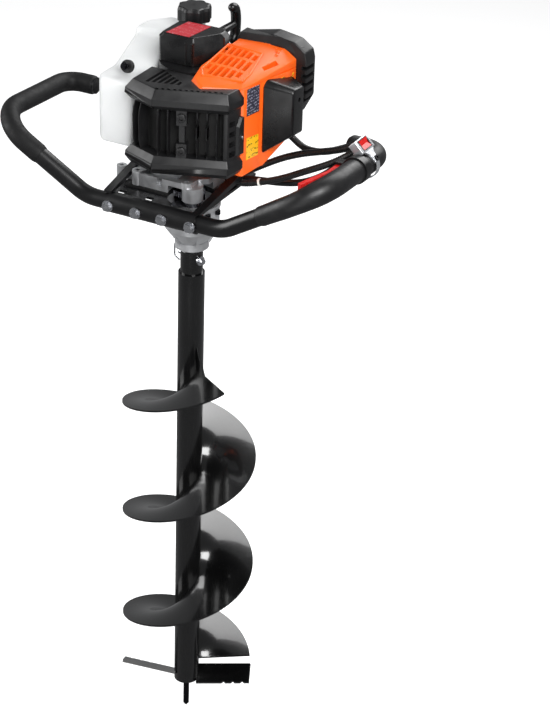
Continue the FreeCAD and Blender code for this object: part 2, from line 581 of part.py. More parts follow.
webLow, webHigh = s.cylinder_z - 16, s.cylinder_z + 16
pinAt = (crank[0] + s.stroke / 2, crank[1])
crankParts = [room(crank, 6, shoeLow, webLow), room(crank, s.hub_dia / 2, shoeLow, shoeHigh),
              room(crank, 24, webLow, webLow + 9), room(crank, 24, webHigh - 9, webHigh),
              room(pinAt, 6, webLow + 4, webHigh - 4), room(crank, 6, webHigh - 1, s.starter_low + 4)]
keep("crankshaft", shaped("Crankshaft", crankParts[0].fuse(crankParts[1:]).removeSplitter()))
wristX = pinAt[0] + 54
rodShape = room(pinAt, 10, webLow + 10, webHigh - 10).fuse([
    Part.makeBox(54, 8, 8, Vec(pinAt[0], crank[1] - 4, s.cylinder_z - 4)),
    room((wristX, crank[1]), 7, s.cylinder_z - 5, s.cylinder_z + 5)])
rodShape = rodShape.cut(room(pinAt, 6 + s.fit_gap, 900, 1100)).cut(room((wristX, crank[1]), 4 + s.fit_gap,
                                                                        900, 1100))
keep("connecting_rod", shaped("ConnectingRod", rodShape.removeSplitter()))


def across(radius, start, end, y=None, z=None):
    """A cylinder along +X between two x values."""
    return Part.makeCylinder(radius, end - start, Vec(start, s.crank_y if y is None else y,
                                                     s.cylinder_z if z is None else z), Vec(1, 0, 0))


pistonEnd = wristX + 14
piston = across(s.bore_dia / 2 - 0.05, wristX - 14, pistonEnd).cut(across(s.bore_dia / 2 - 3, wristX - 16,
                                                                          pistonEnd - 4))
piston = piston.fuse(room((wristX, crank[1]), 4, s.cylinder_z - 20, s.cylinder_z + 20))
keep("piston", shaped("Piston", piston.removeSplitter()))
caseRadius = s.crankcase_dia / 2
boreRadius = s.bore_dia / 2
crankcase = room(crank, caseRadius, s.engine_low, s.crankcase_top)
crankcase = crankcase.fuse([Part.makeBox(s.cylinder_near - crank[0], 64, 64, Vec(crank[0], crank[1] - 32,
                                                                                 s.cylinder_z - 32))])
crankcase = crankcase.cut(room(crank, 27, webLow - 4, webHigh + 4))
crankcase = crankcase.cut(across(boreRadius, crank[0], s.cylinder_near + 5))
crankcase = crankcase.cut(room(crank, 6 + s.fit_gap, 900, 1100)).cut(room(crank, s.hub_dia / 2 + 2, 940,
                                                                          s.engine_low + 3))
keep("crankcase", shaped("Crankcase", crankcase.removeSplitter()))
cylinder = across(boreRadius + 4, s.cylinder_near, s.cylinder_far)
finGap = (s.cylinder_far - s.cylinder_near - s.fin_thick) / (s.fin_count - 1)
for number in range(int(s.fin_count)):
    cylinder = cylinder.fuse(Part.makeBox(s.fin_thick, s.fin_side, s.fin_side, Vec(
        s.cylinder_near + number * finGap, s.crank_y - s.fin_side / 2, s.cylinder_z - s.fin_side / 2)))
cylinder = cylinder.cut(across(boreRadius, s.cylinder_near - 1, s.cylinder_far - 7))
cylinder = cylinder.cut(across(5, s.cylinder_far - 10, s.cylinder_far + 2))
keep("cylinder", shaped("Cylinder", cylinder.removeSplitter()))
plug = across(4.9, s.cylinder_far - 8, s.cylinder_far).fuse([across(9, s.cylinder_far + 0.02,
                                                                    s.cylinder_far + 5),
                                                             across(5, s.cylinder_far, s.cylinder_far + 22)])
keep("spark_plug", shaped("SparkPlug", plug.removeSplitter()))

flyLow, flyHigh = s.crankcase_top + 2, s.crankcase_top + 18
fly = room(crank, s.flywheel_dia / 2 - 14, flyLow, flyHigh).fuse(room(crank, s.flywheel_dia / 2, flyLow,
                                                                      flyLow + 3))
for number in range(14):
    vane = Part.makeBox(14, 2, flyHigh - flyLow, Vec(s.flywheel_dia / 2 - 15, -1, flyLow))
    vane.rotate(Vec(0, 0, 0), Vec(0, 0, 1), number * 360 / 14)
    vane.translate(Vec(*crank, 0))
    fly = fly.fuse(vane)
fly = fly.cut(room(crank, 6 + 0.02, 1000, 1100))
keep("flywheel", shaped("Flywheel", fly.removeSplitter()))

# ---- muffler and its guard ----

left, peak = (s.guard_left_x, s.guard_left_y), (s.guard_ridge_x, s.guard_ridge_y)
right = (s.guard_right_x, s.guard_right_y)
backY = s.guard_ridge_y + s.guard_deep


def guardOutline(grow, extra=0):
    """The guard's plan: two front facets, two short ends and an open back."""
    return [(left[0] - grow, backY + extra), (left[0] - grow, left[1] - grow * 0.6),
            (peak[0], peak[1] - grow), (right[0] + grow, right[1] - grow * 0.6),
            (right[0] + grow, backY + extra)]


def taperBand(lowGrow, highGrow, low, high):
    wires = []
    for grow, height in ((lowGrow, low), (highGrow, high)):
        corners = [Vec(x, y, height) for x, y in guardOutline(grow)]
        wires.append(Part.makePolygon(corners + corners[:1]))
    return Part.makeLoft(wires, True, True)


bandHigh = 13
guard = facePrism(guardOutline(-4), s.guard_low, s.guard_high - 2)
guard = guard.fuse([taperBand(-6, 0, s.guard_low, s.guard_low + 5),
                    facePrism(guardOutline(0), s.guard_low + 5,
                                                                            s.guard_low + 10),
                    taperBand(0, -6, s.guard_low + 10, s.guard_low + 10 + bandHigh),
                    taperBand(-6, 0, s.guard_high - 12 - bandHigh, s.guard_high - 12),
                    facePrism(guardOutline(0), s.guard_high - 12, s.guard_high - 9),
                    taperBand(0, -8, s.guard_high - 9, s.guard_high)])
inside = facePrism(guardOutline(-4 - s.shell_wall, 5), s.guard_low + 8, s.guard_high - 2.5 - s.shell_wall)
guard = guard.cut(inside)


def guardWindows():
    """Tall openings between the fins on the two front facets."""
    windows = []
    for start, end, count in ((left, peak, 4), (peak, right, 7)):
        length = math.hypot(end[0] - start[0], end[1] - start[1])
        ux, uy = (end[0] - start[0]) / length, (end[1] - start[1]) / length
        for number in range(count):
            a = (number + 0.22) * length / count
            b = (number + 0.82) * length / count
            quad = [(start[0] + ux * a + uy * 6, start[1] + uy * a - ux * 6),
                    (start[0] + ux * b + uy * 6, start[1] + uy * b - ux * 6),
                    (start[0] + ux * b - uy * 14, start[1] + uy * b + ux * 14),
                    (start[0] + ux * a - uy * 14, start[1] + uy * a + ux * 14)]
            if number == 2 and count == 7:
                continue
            windows.append(facePrism(quad, s.guard_low + 24, s.guard_high - 30))
    return Part.makeCompound(windows)


guard = guard.cut(guardWindows())
guard = guard.cut(Part.makeCylinder(46, 200, Vec(*crank, 930)))
keep("muffler_guard", shaped("MufflerGuard", guard.removeSplitter()))
muffler = facePrism([(-80, -6), (-42, -14), (38, 4), (38, 24), (-80, 24)], s.guard_low + 16,
                    s.guard_high - 22)
muffler = muffler.cut(room(crank, 48, 900, 1100))
pipe = Part.makeCylinder(10, s.crank_y - 43 - 24, Vec(20, 24, s.cylinder_z), Vec(0, 1, 0))
keep("muffler", shaped("Muffler", muffler.fuse(pipe).cut(nodes["cylinder"].Shape).removeSplitter()))

# ---- shroud, plug cover and air-cleaner cover ----

shroudBack = 143
shroudOutline = [(-20, 34), (-2, backY + 1), (right[0] + 1, backY + 1), (right[0] + 5, 44), (68, 72),
                 (84, 122), (84, shroudBack), (-6, shroudBack), (-20, 130)]
shoulder = 22
shroud = facePrism(shroudOutline, s.shroud_low, s.shroud_high - shoulder)
roofLow = [Vec(x, y, s.shroud_high - shoulder) for x, y in shroudOutline]
roofHigh = [Vec(x * 0.84 + 2, y * 0.86 + 12, s.shroud_high) for x, y in shroudOutline]
shroud = shroud.fuse(Part.makeLoft([Part.makePolygon(roofLow + roofLow[:1]),
                                    Part.makePolygon(roofHigh + roofHigh[:1])], True, True))
shroudSolid = shroud
inner = [(x * 0.94 + 1.5, y * 0.94 + 5) for x, y in shroudOutline]
shroud = shroud.cut(facePrism(inner, s.shroud_low - 1, s.shroud_high - shoulder - s.shell_wall))
openings = [facePrism([(-60, 30), (-8, 30), (-8, 160), (-60, 160)], s.shroud_low - 1, 1030),
            Part.makeBox(50, 40, 56, Vec(-12, 118, 964)), room(crank, s.flywheel_dia / 2 + 7.2, 1000, 1060),
            Part.makeCylinder(12, 40, Vec(20, 16, s.cylinder_z), Vec(0, 1, 0)), across(11, 50, 90)]
slatCount = 5
for number in range(slatCount):
    x = -2 + 10 * number
    openings.append(facePrism([(x, 44), (x + 5, 44), (x + 5, 96), (x, 96)], 1040, 1100))
boxPlan = [(-95, 67), (-89, 60), (-46, 60), (-37, 62), (-10, 103), (-10, 118), (-18, 126), (-86, 126),
           (-95, 118)]
openings.append(facePrism([(x + (0.5 if x > -40 else -0.5), y + (0.5 if y > 90 else -0.5)) for x,
                           y in boxPlan],
                          s.starter_low - 6, s.starter_high))
underside = Part.Face(Part.makePolygon([Vec(-30, 74, 924), Vec(-30, 145, 924), Vec(-30, 145, 968),
                                        Vec(-30, 74, 924)]))
openings.append(underside.extrude(Vec(140, 0, 0)))
shroud = shroud.cut(openings)
keep("engine_shroud", shaped("EngineShroud", max(shroud.Solids, key=lambda piece: piece.Volume)))

plugBase = [Vec(66.3, 76, 944), Vec(66.3, 142, 944), Vec(66.3, 142, 1046), Vec(66.3, 76, 1052)]
plugTip = [Vec(112, 84, 972), Vec(112, 116, 972), Vec(112, 116, 1040), Vec(112, 84, 1038)]
plugCover = Part.makeLoft([Part.makePolygon(plugBase + plugBase[:1]),
                           Part.makePolygon(plugTip + plugTip[:1])],
                          True, True)
plugHollow = [[Vec(p.x - 1 if k == 0 else p.x - 3, 109 + (p.y - 109) * 0.86,
                   998 + (p.z - 998) * 0.9) for p in ring]
              for k, ring in enumerate((plugBase, plugTip))]
plugCover = plugCover.cut(Part.makeLoft([Part.makePolygon(ring + ring[:1]) for ring in plugHollow], True,
                                        True))
plugCover = plugCover.cut(Part.makeCylinder(3.5, 20, Vec(100, 106, 1026), Vec(1, 0, 0)))
plugCover = plugCover.cut(across(11, 60, 90)).cut(shroudSolid)
keep("plug_cover", shaped("PlugCover", plugCover.removeSplitter()))

rearFront, rearBack = 144, 178
rearOutline = [(-12, 1070), (-2, 1088), (50, 1096), (88, 1089), (100, 1072), (100, 1012), (84, 982),
               (10, 976),
               (-12, 990)]


def standing(points, near, far):
    """A prism along Y whose outline is given in X and Z."""
    corners = [Vec(x, near, z) for x, z in points]
    return Part.Face(Part.makePolygon(corners + corners[:1])).extrude(Vec(0, far - near, 0))


rear = standing(rearOutline, rearFront, rearBack)
rearInner = [(44 + (x - 44) * 0.94, 1034 + (z - 1034) * 0.94) for x, z in rearOutline]
rear = rear.cut(standing(rearInner, rearFront - 1, rearBack - s.shell_wall))
louvres = [Part.makeBox(20, 24, 5, Vec(92, rearFront + 5, 1006 + 12 * number)) for number in range(5)]
rear = rear.cut(Part.makeCompound(louvres))
keep("rear_cover", shaped("RearCover", rear.removeSplitter()))
carb = Part.makeBox(34, 13, 34, Vec(-4, 129, 975)).fuse(Part.makeCylinder(9, 14, Vec(13, 130, 992),
                                                                          Vec(0, 1, 0)))
keep("carburettor", shaped("Carburettor", carb.cut(Part.makeCylinder(6, 40, Vec(13, 125, 992),
                                                                     Vec(0, 1, 0)))))
chokeAt = (-12.3, 160, 1010)
choke = Part.makeBox(3, 8, 30, Vec(chokeAt[0] - 3.2, chokeAt[1] - 4, chokeAt[2] - 4)).fuse(
    [Part.makeBox(10, 8, 3, Vec(chokeAt[0] - 12, chokeAt[1] - 4, chokeAt[2] + 23)),
     Part.makeCylinder(5, 5, Vec(chokeAt[0] - 5.2, chokeAt[1], chokeAt[2]), Vec(1, 0, 0))])
keep("choke_lever", shaped("ChokeLever", choke.removeSplitter()))

# ---- recoil starter ----

starter = facePrism(boxPlan, s.starter_low, s.starter_high - 3)
topPlan = [(x * 0.94 - 3, y * 0.94 + 5.4) for x, y in boxPlan]
lidLow = [Vec(x, y, s.starter_high - 3) for x, y in boxPlan]
lidHigh = [Vec(x, y, s.starter_high) for x, y in topPlan]
starter = starter.fuse(Part.makeLoft([Part.makePolygon(lidLow + lidLow[:1]),
                                      Part.makePolygon(lidHigh + lidHigh[:1])], True, True))
pulleyLow = s.starter_high - 5 - s.pulley_thick
starter = starter.cut(room(crank, s.pulley_dia / 2 + 1.2, s.starter_low - 1, s.starter_high - 4))
grommetZ = pulleyLow + s.pulley_thick / 2
grommetX = crank[0] + s.pulley_dia / 2 - s.rope_dia
starter = starter.cut(Part.makeCylinder(5, 60, Vec(grommetX, crank[1] + 10, grommetZ), Vec(0, 1, 0)))
starter = starter.fuse(room(crank, 4, pulleyLow - 2, s.starter_high - 3))
skirt = room(crank, s.flywheel_dia / 2 + 6, s.crankcase_top, s.starter_low - 0.02)
skirt = skirt.cut(room(crank, s.flywheel_dia / 2 + 3, s.crankcase_top - 1, s.starter_low - 4))
skirt = skirt.cut(room(crank, 22, s.starter_low - 6, s.starter_low + 1))
keep("fan_housing", shaped("FanHousing",
                           skirt.cut(nodes["engine_shroud"].Shape).cut(nodes["muffler_guard"].Shape)))
pulley = room(crank, s.pulley_dia / 2, pulleyLow, pulleyLow + s.pulley_thick)
ropeGroove = room(crank, s.pulley_dia / 2 + 2, pulleyLow + 2, pulleyLow + s.pulley_thick - 2).cut(
    room(crank, s.pulley_dia / 2 - 9, pulleyLow, pulleyLow + s.pulley_thick))
pulley = pulley.cut(ropeGroove).cut(room(crank, 4 + s.fit_gap, 1000, 1100))
keep("recoil_pulley", shaped("RecoilPulley", pulley.removeSplitter()))
boxBack = 126
grommet = Part.makeCylinder(7, 9.4, Vec(grommetX, boxBack - 0.4, grommetZ), Vec(0, 1, 0)).fuse(
    Part.makeCylinder(4.9, 8, Vec(grommetX, boxBack - 7, grommetZ), Vec(0, 1, 0)))
grommet = grommet.cut(Part.makeCylinder(2.2, 40, Vec(grommetX, boxBack - 20, grommetZ), Vec(0, 1, 0)))
keep("starter_housing", shaped("StarterHousing", starter.fuse(grommet).removeSplitter()))
stemLow, stemHigh = boxBack + 9.4, boxBack + 44
handle = Part.makeCone(6.5, 5, stemHigh - stemLow, Vec(grommetX, stemLow, grommetZ), Vec(0, 1, 0))
gripPath = bentPath([(grommetX, stemHigh - 8, grommetZ - 26), (grommetX, stemHigh + 4, grommetZ - 14),
                     (grommetX, stemHigh + 4, grommetZ + 14), (grommetX, stemHigh - 8, grommetZ + 26)],
                     [16, 16])
handle = handle.fuse(swept(gripPath, 7.5)).cut(Part.makeCylinder(1.9, 18,
                                                                 Vec(grommetX, stemLow - 1, grommetZ),
                                                               Vec(0, 1, 0)))
keep("starter_handle", shaped("StarterHandle", handle.removeSplitter()))

# ---- fuel tank ----

tankBack = 182


def tankShape(inset):
    """The tank's two lobes: its plan cut to its side outline, and a shelf out to the neck."""
    low, mid, high = s.tank_low + inset, s.tank_mid - inset, s.neck_low - inset
    left, right = s.tank_left_x + inset, s.tank_right_x - inset
    front, back = s.tank_front_y + inset, tankBack - inset
    plan = facePrism([(left, front + 14), (left + 12, front), (right - 4, front), (right, front + 8),
                      (right, back), (left + 24, back), (left, s.tank_back_y)], low, high)
    sideLine = [(front - 1, low), (back + 1, low), (back + 1, high), (130, high), (104, mid + 20),
                (60, mid + 4),
                (front + 8, mid), (front - 1, mid - 8)]
    corners = [Vec(left - 1, y, z) for y, z in sideLine]
    profile = Part.Face(Part.makePolygon(corners + corners[:1])).extrude(Vec(right - left + 2, 0, 0))
    return plan.common(profile), right, back, high


tank, right, back, high = tankShape(0)
tank = tank.makeFillet(5,
                       [e for e in tank.Edges if e.Length > 60 and abs(e.tangentAt(e.FirstParameter).z) > 0.9])
shelfHigh = 40
tank = tank.fuse(Part.makeBox(s.neck_x + 24 - right + 8, 38, shelfHigh,
                              Vec(right - 8, back - 44, high - shelfHigh)))
core, coreRight, coreBack, coreHigh = tankShape(3)
core = core.fuse(Part.makeBox(s.neck_x + 21 - coreRight + 8, 32, shelfHigh - 6,
                              Vec(coreRight - 8, back - 41, coreHigh - shelfHigh + 6)))
neckAt = (s.neck_x, s.neck_y)
tank = tank.fuse(room(neckAt, s.neck_dia / 2, s.neck_low - 2, s.neck_top)).cut(core)
tank = tank.cut(room(neckAt, s.neck_bore / 2, s.neck_low - 20, s.neck_top + 5))
keep("fuel_tank", shaped("FuelTank", tank.removeSplitter()))
sealPlate = room(neckAt, s.neck_bore / 2 - 0.4, s.neck_top - 8, s.neck_top + 0.2).fuse(
    room(neckAt, s.neck_dia / 2, s.neck_top + 0.3, s.neck_top + 2.2))
sealPlate = sealPlate.fuse(room(neckAt, 4, s.neck_top, s.neck_top + 10))
keep("cap_insert", shaped("CapInsert", sealPlate.removeSplitter()))
cap = room(neckAt, s.cap_dia / 2 - 2.5, s.neck_top - 12, s.neck_top + s.cap_high - 12)
for number in range(8):
    dx, dy = polar(s.cap_dia / 2 - 4, number * 45)
    cap = cap.fuse(room((neckAt[0] + dx, neckAt[1] + dy), 4.5, s.neck_top - 12,
                        s.neck_top + s.cap_high - 14))
cap = cap.cut(room(neckAt, s.neck_dia / 2 + 0.6, s.neck_top - 13, s.neck_top + 2.6))
cap = cap.cut(room(neckAt, 4 + s.fit_gap, s.neck_top, s.neck_top + s.cap_high - 13.5 + 2))
keep("fuel_cap", shaped("FuelCap", cap.removeSplitter()))
# ---- handle frame ----

sleeve = Part.makeCylinder(s.bar_dia / 2, 2 * s.sleeve_half,
                           Vec(s.bar_x - s.sleeve_half, s.bar_y, s.bar_z), Vec(1, 0, 0))
tubeRoom = s.handle_dia / 2 + 0.1
sleeve = sleeve.cut(Part.makeCylinder(tubeRoom, 400, Vec(s.bar_x - 200, s.bar_y, s.bar_z), Vec(1, 0, 0)))
boltSpots = [s.bar_x + offset for offset in (-s.bolt_outer, -s.bolt_inner, s.bolt_inner, s.bolt_outer)]
boltHoles = Part.makeCompound([Part.makeCylinder(s.bolt_dia / 2 + 0.2, 60, Vec(x, s.bar_y - 30, s.bar_z),
                                                 Vec(0, 1, 0))
                               for x in boltSpots])
keep("front_sleeve", shaped("FrontSleeve", sleeve.cut(boltHoles)))


def handlePoints(side, inner):
    """Corners of one handle tube, from inside the sleeve to the free end behind the grip."""
    return [(s.bar_x + side * inner, s.bar_y, s.bar_z), (s.bar_x + side * s.bend_one, s.bar_y, s.bar_z),
            (s.bar_x + side * s.grip_half, s.grip_y, s.grip_z),
            (s.bar_x + side * s.grip_half, s.end_y, s.end_z),
            (s.bar_x + side * (s.grip_half - s.stub_long), s.end_y, s.end_z)]


bends = [s.bend_one_radius, s.bend_two_radius, s.bend_end_radius]


def along(side, share):
    """A point on the rising leg, as a share of the way between its two bends."""
    first, second = (Vec(*p) for p in handlePoints(side, 4)[1:3])
    return first + (second - first) * share


def gripSleeve(side, share, outer, bore):
    """A grip over the tube, from a point on the rising leg round to a closed end."""
    points = handlePoints(side, 4)
    start = along(side, share)
    tail = Vec(*points[4])
    end = tail + Vec(-side * 4, 0, 0)
    body = swept(bentPath([start, points[2], points[3], end], bends[1:]), outer)
    inner = swept(bentPath([start - (Vec(*points[2]) - start).normalize() * 2, points[2], points[3],
                            tail + Vec(-side * 0.3, 0, 0)], bends[1:]), bore)
    return body.cut(inner)


for name, side in (("handle_left", -1), ("handle_right", 1)):
    path = bentPath(handlePoints(side, 4), bends)
    tube = swept(path, s.handle_dia / 2).cut(swept(path, s.handle_dia / 2 - s.handle_wall))
    keep(name, shaped(name.replace("_", "").title(), tube.cut(boltHoles)))
gripBore = s.handle_dia / 2 + 0.1
keep("foam_grip", shaped("FoamGrip", gripSleeve(-1, s.foam_from, s.foam_dia / 2, gripBore)))
keep("throttle_grip", shaped("ThrottleGrip", gripSleeve(1, s.throttle_from, s.throttle_dia / 2, gripBore)))

bolts = []
for x in boltSpots:
    near = s.bar_y - s.bar_dia / 2
    bolt = Part.makeCylinder(s.bolt_dia / 2, 35.6, Vec(x, near - 0.5, s.bar_z), Vec(0, 1, 0))
    washer = Part.makeCylinder(8.5, 1.6, Vec(x, near - 0.5, s.bar_z), Vec(0, -1, 0))
    hexagon = [Vec(x + 6.5 * math.cos(math.pi * k / 3), near - 2.1,
                   s.bar_z + 6.5 * math.sin(math.pi * k / 3))
               for k in range(6)]
    head = Part.Face(Part.makePolygon(hexagon + hexagon[:1])).extrude(Vec(0, -5, 0))
    nut = [Vec(p.x, s.bar_y + s.bar_dia / 2 + 0.4, p.z) for p in hexagon]
    nutBody = Part.Face(Part.makePolygon(nut + nut[:1])).extrude(Vec(0, 4.4, 0))
    bolts.append(bolt.fuse([washer, head, nutBody]).removeSplitter())
keep("frame_bolts", shaped("FrameBolts", Part.makeCompound(bolts)))

frontEdge = s.bar_y + 17
plateLeft, plateRight = s.case_centre_x - 62, s.case_centre_x + 84
basePlate = facePrism([(plateLeft, frontEdge), (plateRight, frontEdge), (plateRight, s.plate_back_y),
                       (plateLeft, s.plate_back_y)], s.case_split, plateTop)
lip = facePrism([(s.bar_x - 56, s.bar_y + 9), (s.bar_x + 56, s.bar_y + 9), (s.bar_x + 56, frontEdge + 1),
                 (s.bar_x - 56, frontEdge + 1)], s.case_split, plateTop)
basePlate = basePlate.fuse(lip)
for c, r, _ in gearRooms:
    basePlate = basePlate.cut(room(c, r + tipRoom + 0.5, 800, 1000))
basePlate = basePlate.cut(lane(idlerTwo, idlerOne, gearRooms[2][1], 800, 1000))
basePlate = basePlate.cut(Part.makeCylinder(s.bar_dia / 2, 300, Vec(-200, s.bar_y, s.bar_z), Vec(1, 0, 0)))
nutRoom = Part.makeCompound([Part.makeCylinder(9, 20, Vec(x, s.bar_y + 8, s.bar_z),
                                               Vec(0, 1, 0)) for x in boltSpots])
basePlate = basePlate.cut(nutRoom)
basePlate = basePlate.cut(room((s.case_centre_x - 52, s.case_front_y - 4), 3, 800, 1000))
basePlate = basePlate.cut(room((s.case_centre_x + 64, s.case_front_y - 4), 3, 800, 1000))
keep("base_plate", shaped("BasePlate", basePlate.removeSplitter()))
padShape = facePrism([(caseLeft - 6, s.case_front_y - 2), (caseRight + 20, s.case_front_y - 2),
                      (caseRight + 20, s.case_back_y + 2), (caseLeft - 6, s.case_back_y + 2)],
                      plateTop + 0.02,
                     padTop - 0.02)
padShape = padShape.cut(hollow)
padShape = padShape.cut(Part.makeCylinder(12, 40, Vec(*lugSpot, 880))).cut(nodes["gearcase_upper"].Shape)
keep("damper_pad", shaped("DamperPad", padShape))


def railShape(x, back, start):
    """A flat rail from the top of the bar, back and up to the engine's mounts."""
    low = s.bar_z + s.bar_dia / 2 - start
    face = Part.Face(Part.makePolygon([Vec(x, s.bar_y - 4, low), Vec(x, back, low + s.rail_rise),
                                       Vec(x, back, low + s.rail_rise + s.rail_deep),
                                       Vec(x, s.bar_y - 4, low + s.rail_deep - 4),
                                       Vec(x, s.bar_y - 4, low)]))
    rail = face.extrude(Vec(s.rail_wide, 0, 0))
    return rail.cut(Part.makeCylinder(s.bar_dia / 2, 400, Vec(-200, s.bar_y, s.bar_z), Vec(1, 0, 0)))


rails = Part.makeCompound([railShape(s.rail_left_x, s.rail_left_back, 2),
                           railShape(s.rail_right_x, s.rail_right_back, 5)])
keep("side_rails", shaped("SideRails", rails.cut(nodes["gearcase_upper"].Shape)))

# ---- controls on the right grip ----

gripX = s.bar_x + s.grip_half


def gripZ(y):
    """Height of the right grip's centre line."""
    return s.grip_z + (s.end_z - s.grip_z) * (y - s.grip_y) / (s.end_y - s.grip_y)


leverZ = gripZ(s.lever_y) - 3
gripEdge = gripX - s.throttle_dia / 2
pivotX = gripEdge - 7
bracket = Part.makeCylinder(s.throttle_dia / 2 + 3, 14, Vec(gripX, s.lever_y - 5, gripZ(s.lever_y - 5)),
                            Vec(0, 1, -0.05))
ears = Part.makeBox(22, 14, s.lever_high + 8, Vec(pivotX - 6, s.lever_y - 5, leverZ - s.lever_high / 2 - 4))
slot = Part.makeBox(60, 60, s.lever_high + 0.8, Vec(pivotX - 40, s.lever_y - 40,
                                                    leverZ - s.lever_high / 2 - 0.4))
slot = slot.cut(Part.makeBox(60, 90, 60, Vec(gripEdge - 1, s.lever_y - 50, leverZ - 30)))
bracket = bracket.fuse(ears).cut(slot)
gripSolid = Part.makeCylinder(s.throttle_dia / 2 + 0.02, 120,
                              Vec(gripX, s.lever_y - 40, gripZ(s.lever_y - 40)),
                              Vec(0, 1, (s.end_z - s.grip_z) / (s.end_y - s.grip_y)))
bracket = bracket.cut(gripSolid)
leverPin = room((pivotX, s.lever_y), s.pin_dia / 2, leverZ - s.lever_high / 2 - 4,
                leverZ + s.lever_high / 2 + 4)
keep("lever_bracket", shaped("LeverBracket", bracket.fuse(leverPin).removeSplitter()))
leverLow = leverZ - s.lever_high / 2
tipY = s.lever_y - s.lever_long
leverPlan = [(pivotX + 3.5, s.lever_y - 4), (pivotX + 3.5, s.lever_y + 3.5), (pivotX - 4.5, s.lever_y + 3.5),
             (pivotX - 6, s.lever_y - 30), (pivotX - s.lever_gap - 4, tipY + 18),
             (pivotX - s.lever_gap - 8, tipY),
             (pivotX - s.lever_gap - 2, tipY - 2), (pivotX - s.lever_gap + 4, tipY + 16),
             (pivotX - 1, s.lever_y - 30)]
lever = facePrism(leverPlan, leverLow, leverLow + s.lever_high)
lever = lever.cut(room((pivotX, s.lever_y), s.pin_dia / 2 + s.fit_gap, 900, 1100))
keep("throttle_lever", shaped("ThrottleLever", lever))

tall, wide, long = s.switch_high, s.switch_wide, s.switch_long
lean = FreeCAD.Rotation(Vec(0, 1, 0), s.switch_lean)
up, sideways = lean.multVec(Vec(0, 0, 1)), lean.multVec(Vec(1, 0, 0))
gripAt = Vec(gripX, s.switch_y, gripZ(s.switch_y))
boxAt = gripAt + up * (s.throttle_dia / 2 + 3.1 - tall / 2) - sideways * 22.4
switchPlace = FreeCAD.Placement(boxAt, lean)
bandY = s.switch_y - s.band_wide / 2
ring = Part.makeCylinder(s.throttle_dia / 2 + 2.2, s.band_wide, Vec(gripX, bandY, gripZ(bandY)),
                         Vec(0, 1, 0))
boxShape = Part.makeBox(wide, long, tall, Vec(-wide / 2, -long / 2, -tall / 2))
pocket = Part.makeBox(s.rocker_side + 2, s.rocker_long + 4, 10, Vec(-s.rocker_side / 2 - 1,
                                                                    -s.rocker_long / 2 - 2, tall / 2 - 9))
strap = facePrism([(9, -14), (16, -7), (30, -7), (30, 7), (16, 7), (9, 14)], tall / 2 - 4, tall / 2)
for piece in (boxShape, pocket, strap):
    piece.Placement = switchPlace
housing = ring.fuse([boxShape, strap]).cut(pocket)
gripLine = Part.makeCylinder(s.throttle_dia / 2 + 0.02, 140,
                             Vec(gripX, s.lever_y - 40, gripZ(s.lever_y - 40)),
                             Vec(0, 1, (s.end_z - s.grip_z) / (s.end_y - s.grip_y)))
housing = housing.cut(gripLine)
screwAt = gripAt + up * (s.throttle_dia / 2 + 0.4) + sideways * 3
clampScrew = Part.makeCylinder(4.2, 5.5, screwAt, up).cut(Part.makeCylinder(2, 3, screwAt + up * 3.5, up))
keep("clamp_screw", shaped("ClampScrew", clampScrew.cut(gripLine)))
keep("switch_housing", shaped("SwitchHousing", housing.cut(nodes["clamp_screw"].Shape).removeSplitter()))
rockerPlan = [(-s.rocker_side / 2, 0), (0, -2.2), (s.rocker_side / 2, 0), (s.rocker_side / 2, 5), (0, 3.2),
              (-s.rocker_side / 2, 6.5)]
corners = [Vec(x, -s.rocker_long / 2, z) for x, z in rockerPlan]
rocker = Part.Face(Part.makePolygon(corners + corners[:1])).extrude(Vec(0, s.rocker_long, 0))
rocker = rocker.cut(Part.makeCylinder(1.3 + s.fit_gap, 60, Vec(0, -30, 0.6), Vec(0, 1, 0)))
rocker.translate(Vec(0, 0, tall / 2 - 4.5))
rocker.Placement = switchPlace.multiply(rocker.Placement)
keep("kill_switch", shaped("KillSwitch", rocker))

# ---- cable conduits ----

cableRoutes = {
    "conduit_upper": [(19, 87, 898), (31, 87, 901), (44, 92, 907), (60, 98, 916.5), (87, 102, 932),
                      (118, 102, 946),
                      (151, 96.5, 958.5), (182, 91.5, 970), (198, 90.5, 978), (208, 91, 984)],
    "conduit_middle": [(19, 63, 896), (33, 64, 896), (51, 65, 898), (77, 67, 906), (107, 68, 918),
                       (140, 69, 936),
                       (170, 70, 951.5), (188, 73, 962), (199, 77, 970), (209, 80, 976)],
    "conduit_lower": [(19, 75, 896), (31, 75.5, 897), (46, 78, 899.5), (72, 81, 901), (100, 82, 904),
                      (128, 80, 911.5), (156, 74, 926.5), (182, 66, 947.5), (198, 60, 963)],
    "conduit_rear": [(63, 152, 950), (75, 150, 946.5), (88, 146, 940.5), (103, 141, 936), (127, 131, 940),
                     (154, 113, 953), (178, 103.5, 966.5), (192, 102, 974), (203, 101.5, 982)],
}
for name, points in cableRoutes.items():
    path, radii = cordPath(points)
    print(name, "length", round(path.Length), "radii", [round(r) for r in radii])
    tube = swept(path, s.conduit_dia / 2)
    expected = math.pi * s.conduit_dia ** 2 / 4 * path.Length
    assert abs(tube.Volume / expected - 1) < 0.02, name + " is not a clean tube"
    keep(name, shaped(name.replace("_", "").title(), tube))

# ---- check and write ----

doc.recompute()
for item in doc.Objects:
    for bad in ("Invalid", "Error"):
        assert bad not in item.State, f"{item.Label} is {item.State}"
for name, part in nodes.items():
    shape = part.Shape
    assert not shape.isNull(), name + " is empty"
    assert shape.isValid(), name + " is not valid"
os.makedirs("parts", exist_ok=True)
for name, part in nodes.items():
    part.Shape.exportStep(f"parts/{name}.step")
print(len(nodes), "nodes written")
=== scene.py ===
import math

import bmesh
import bpy
from mathutils import Matrix, Quaternion, Vector


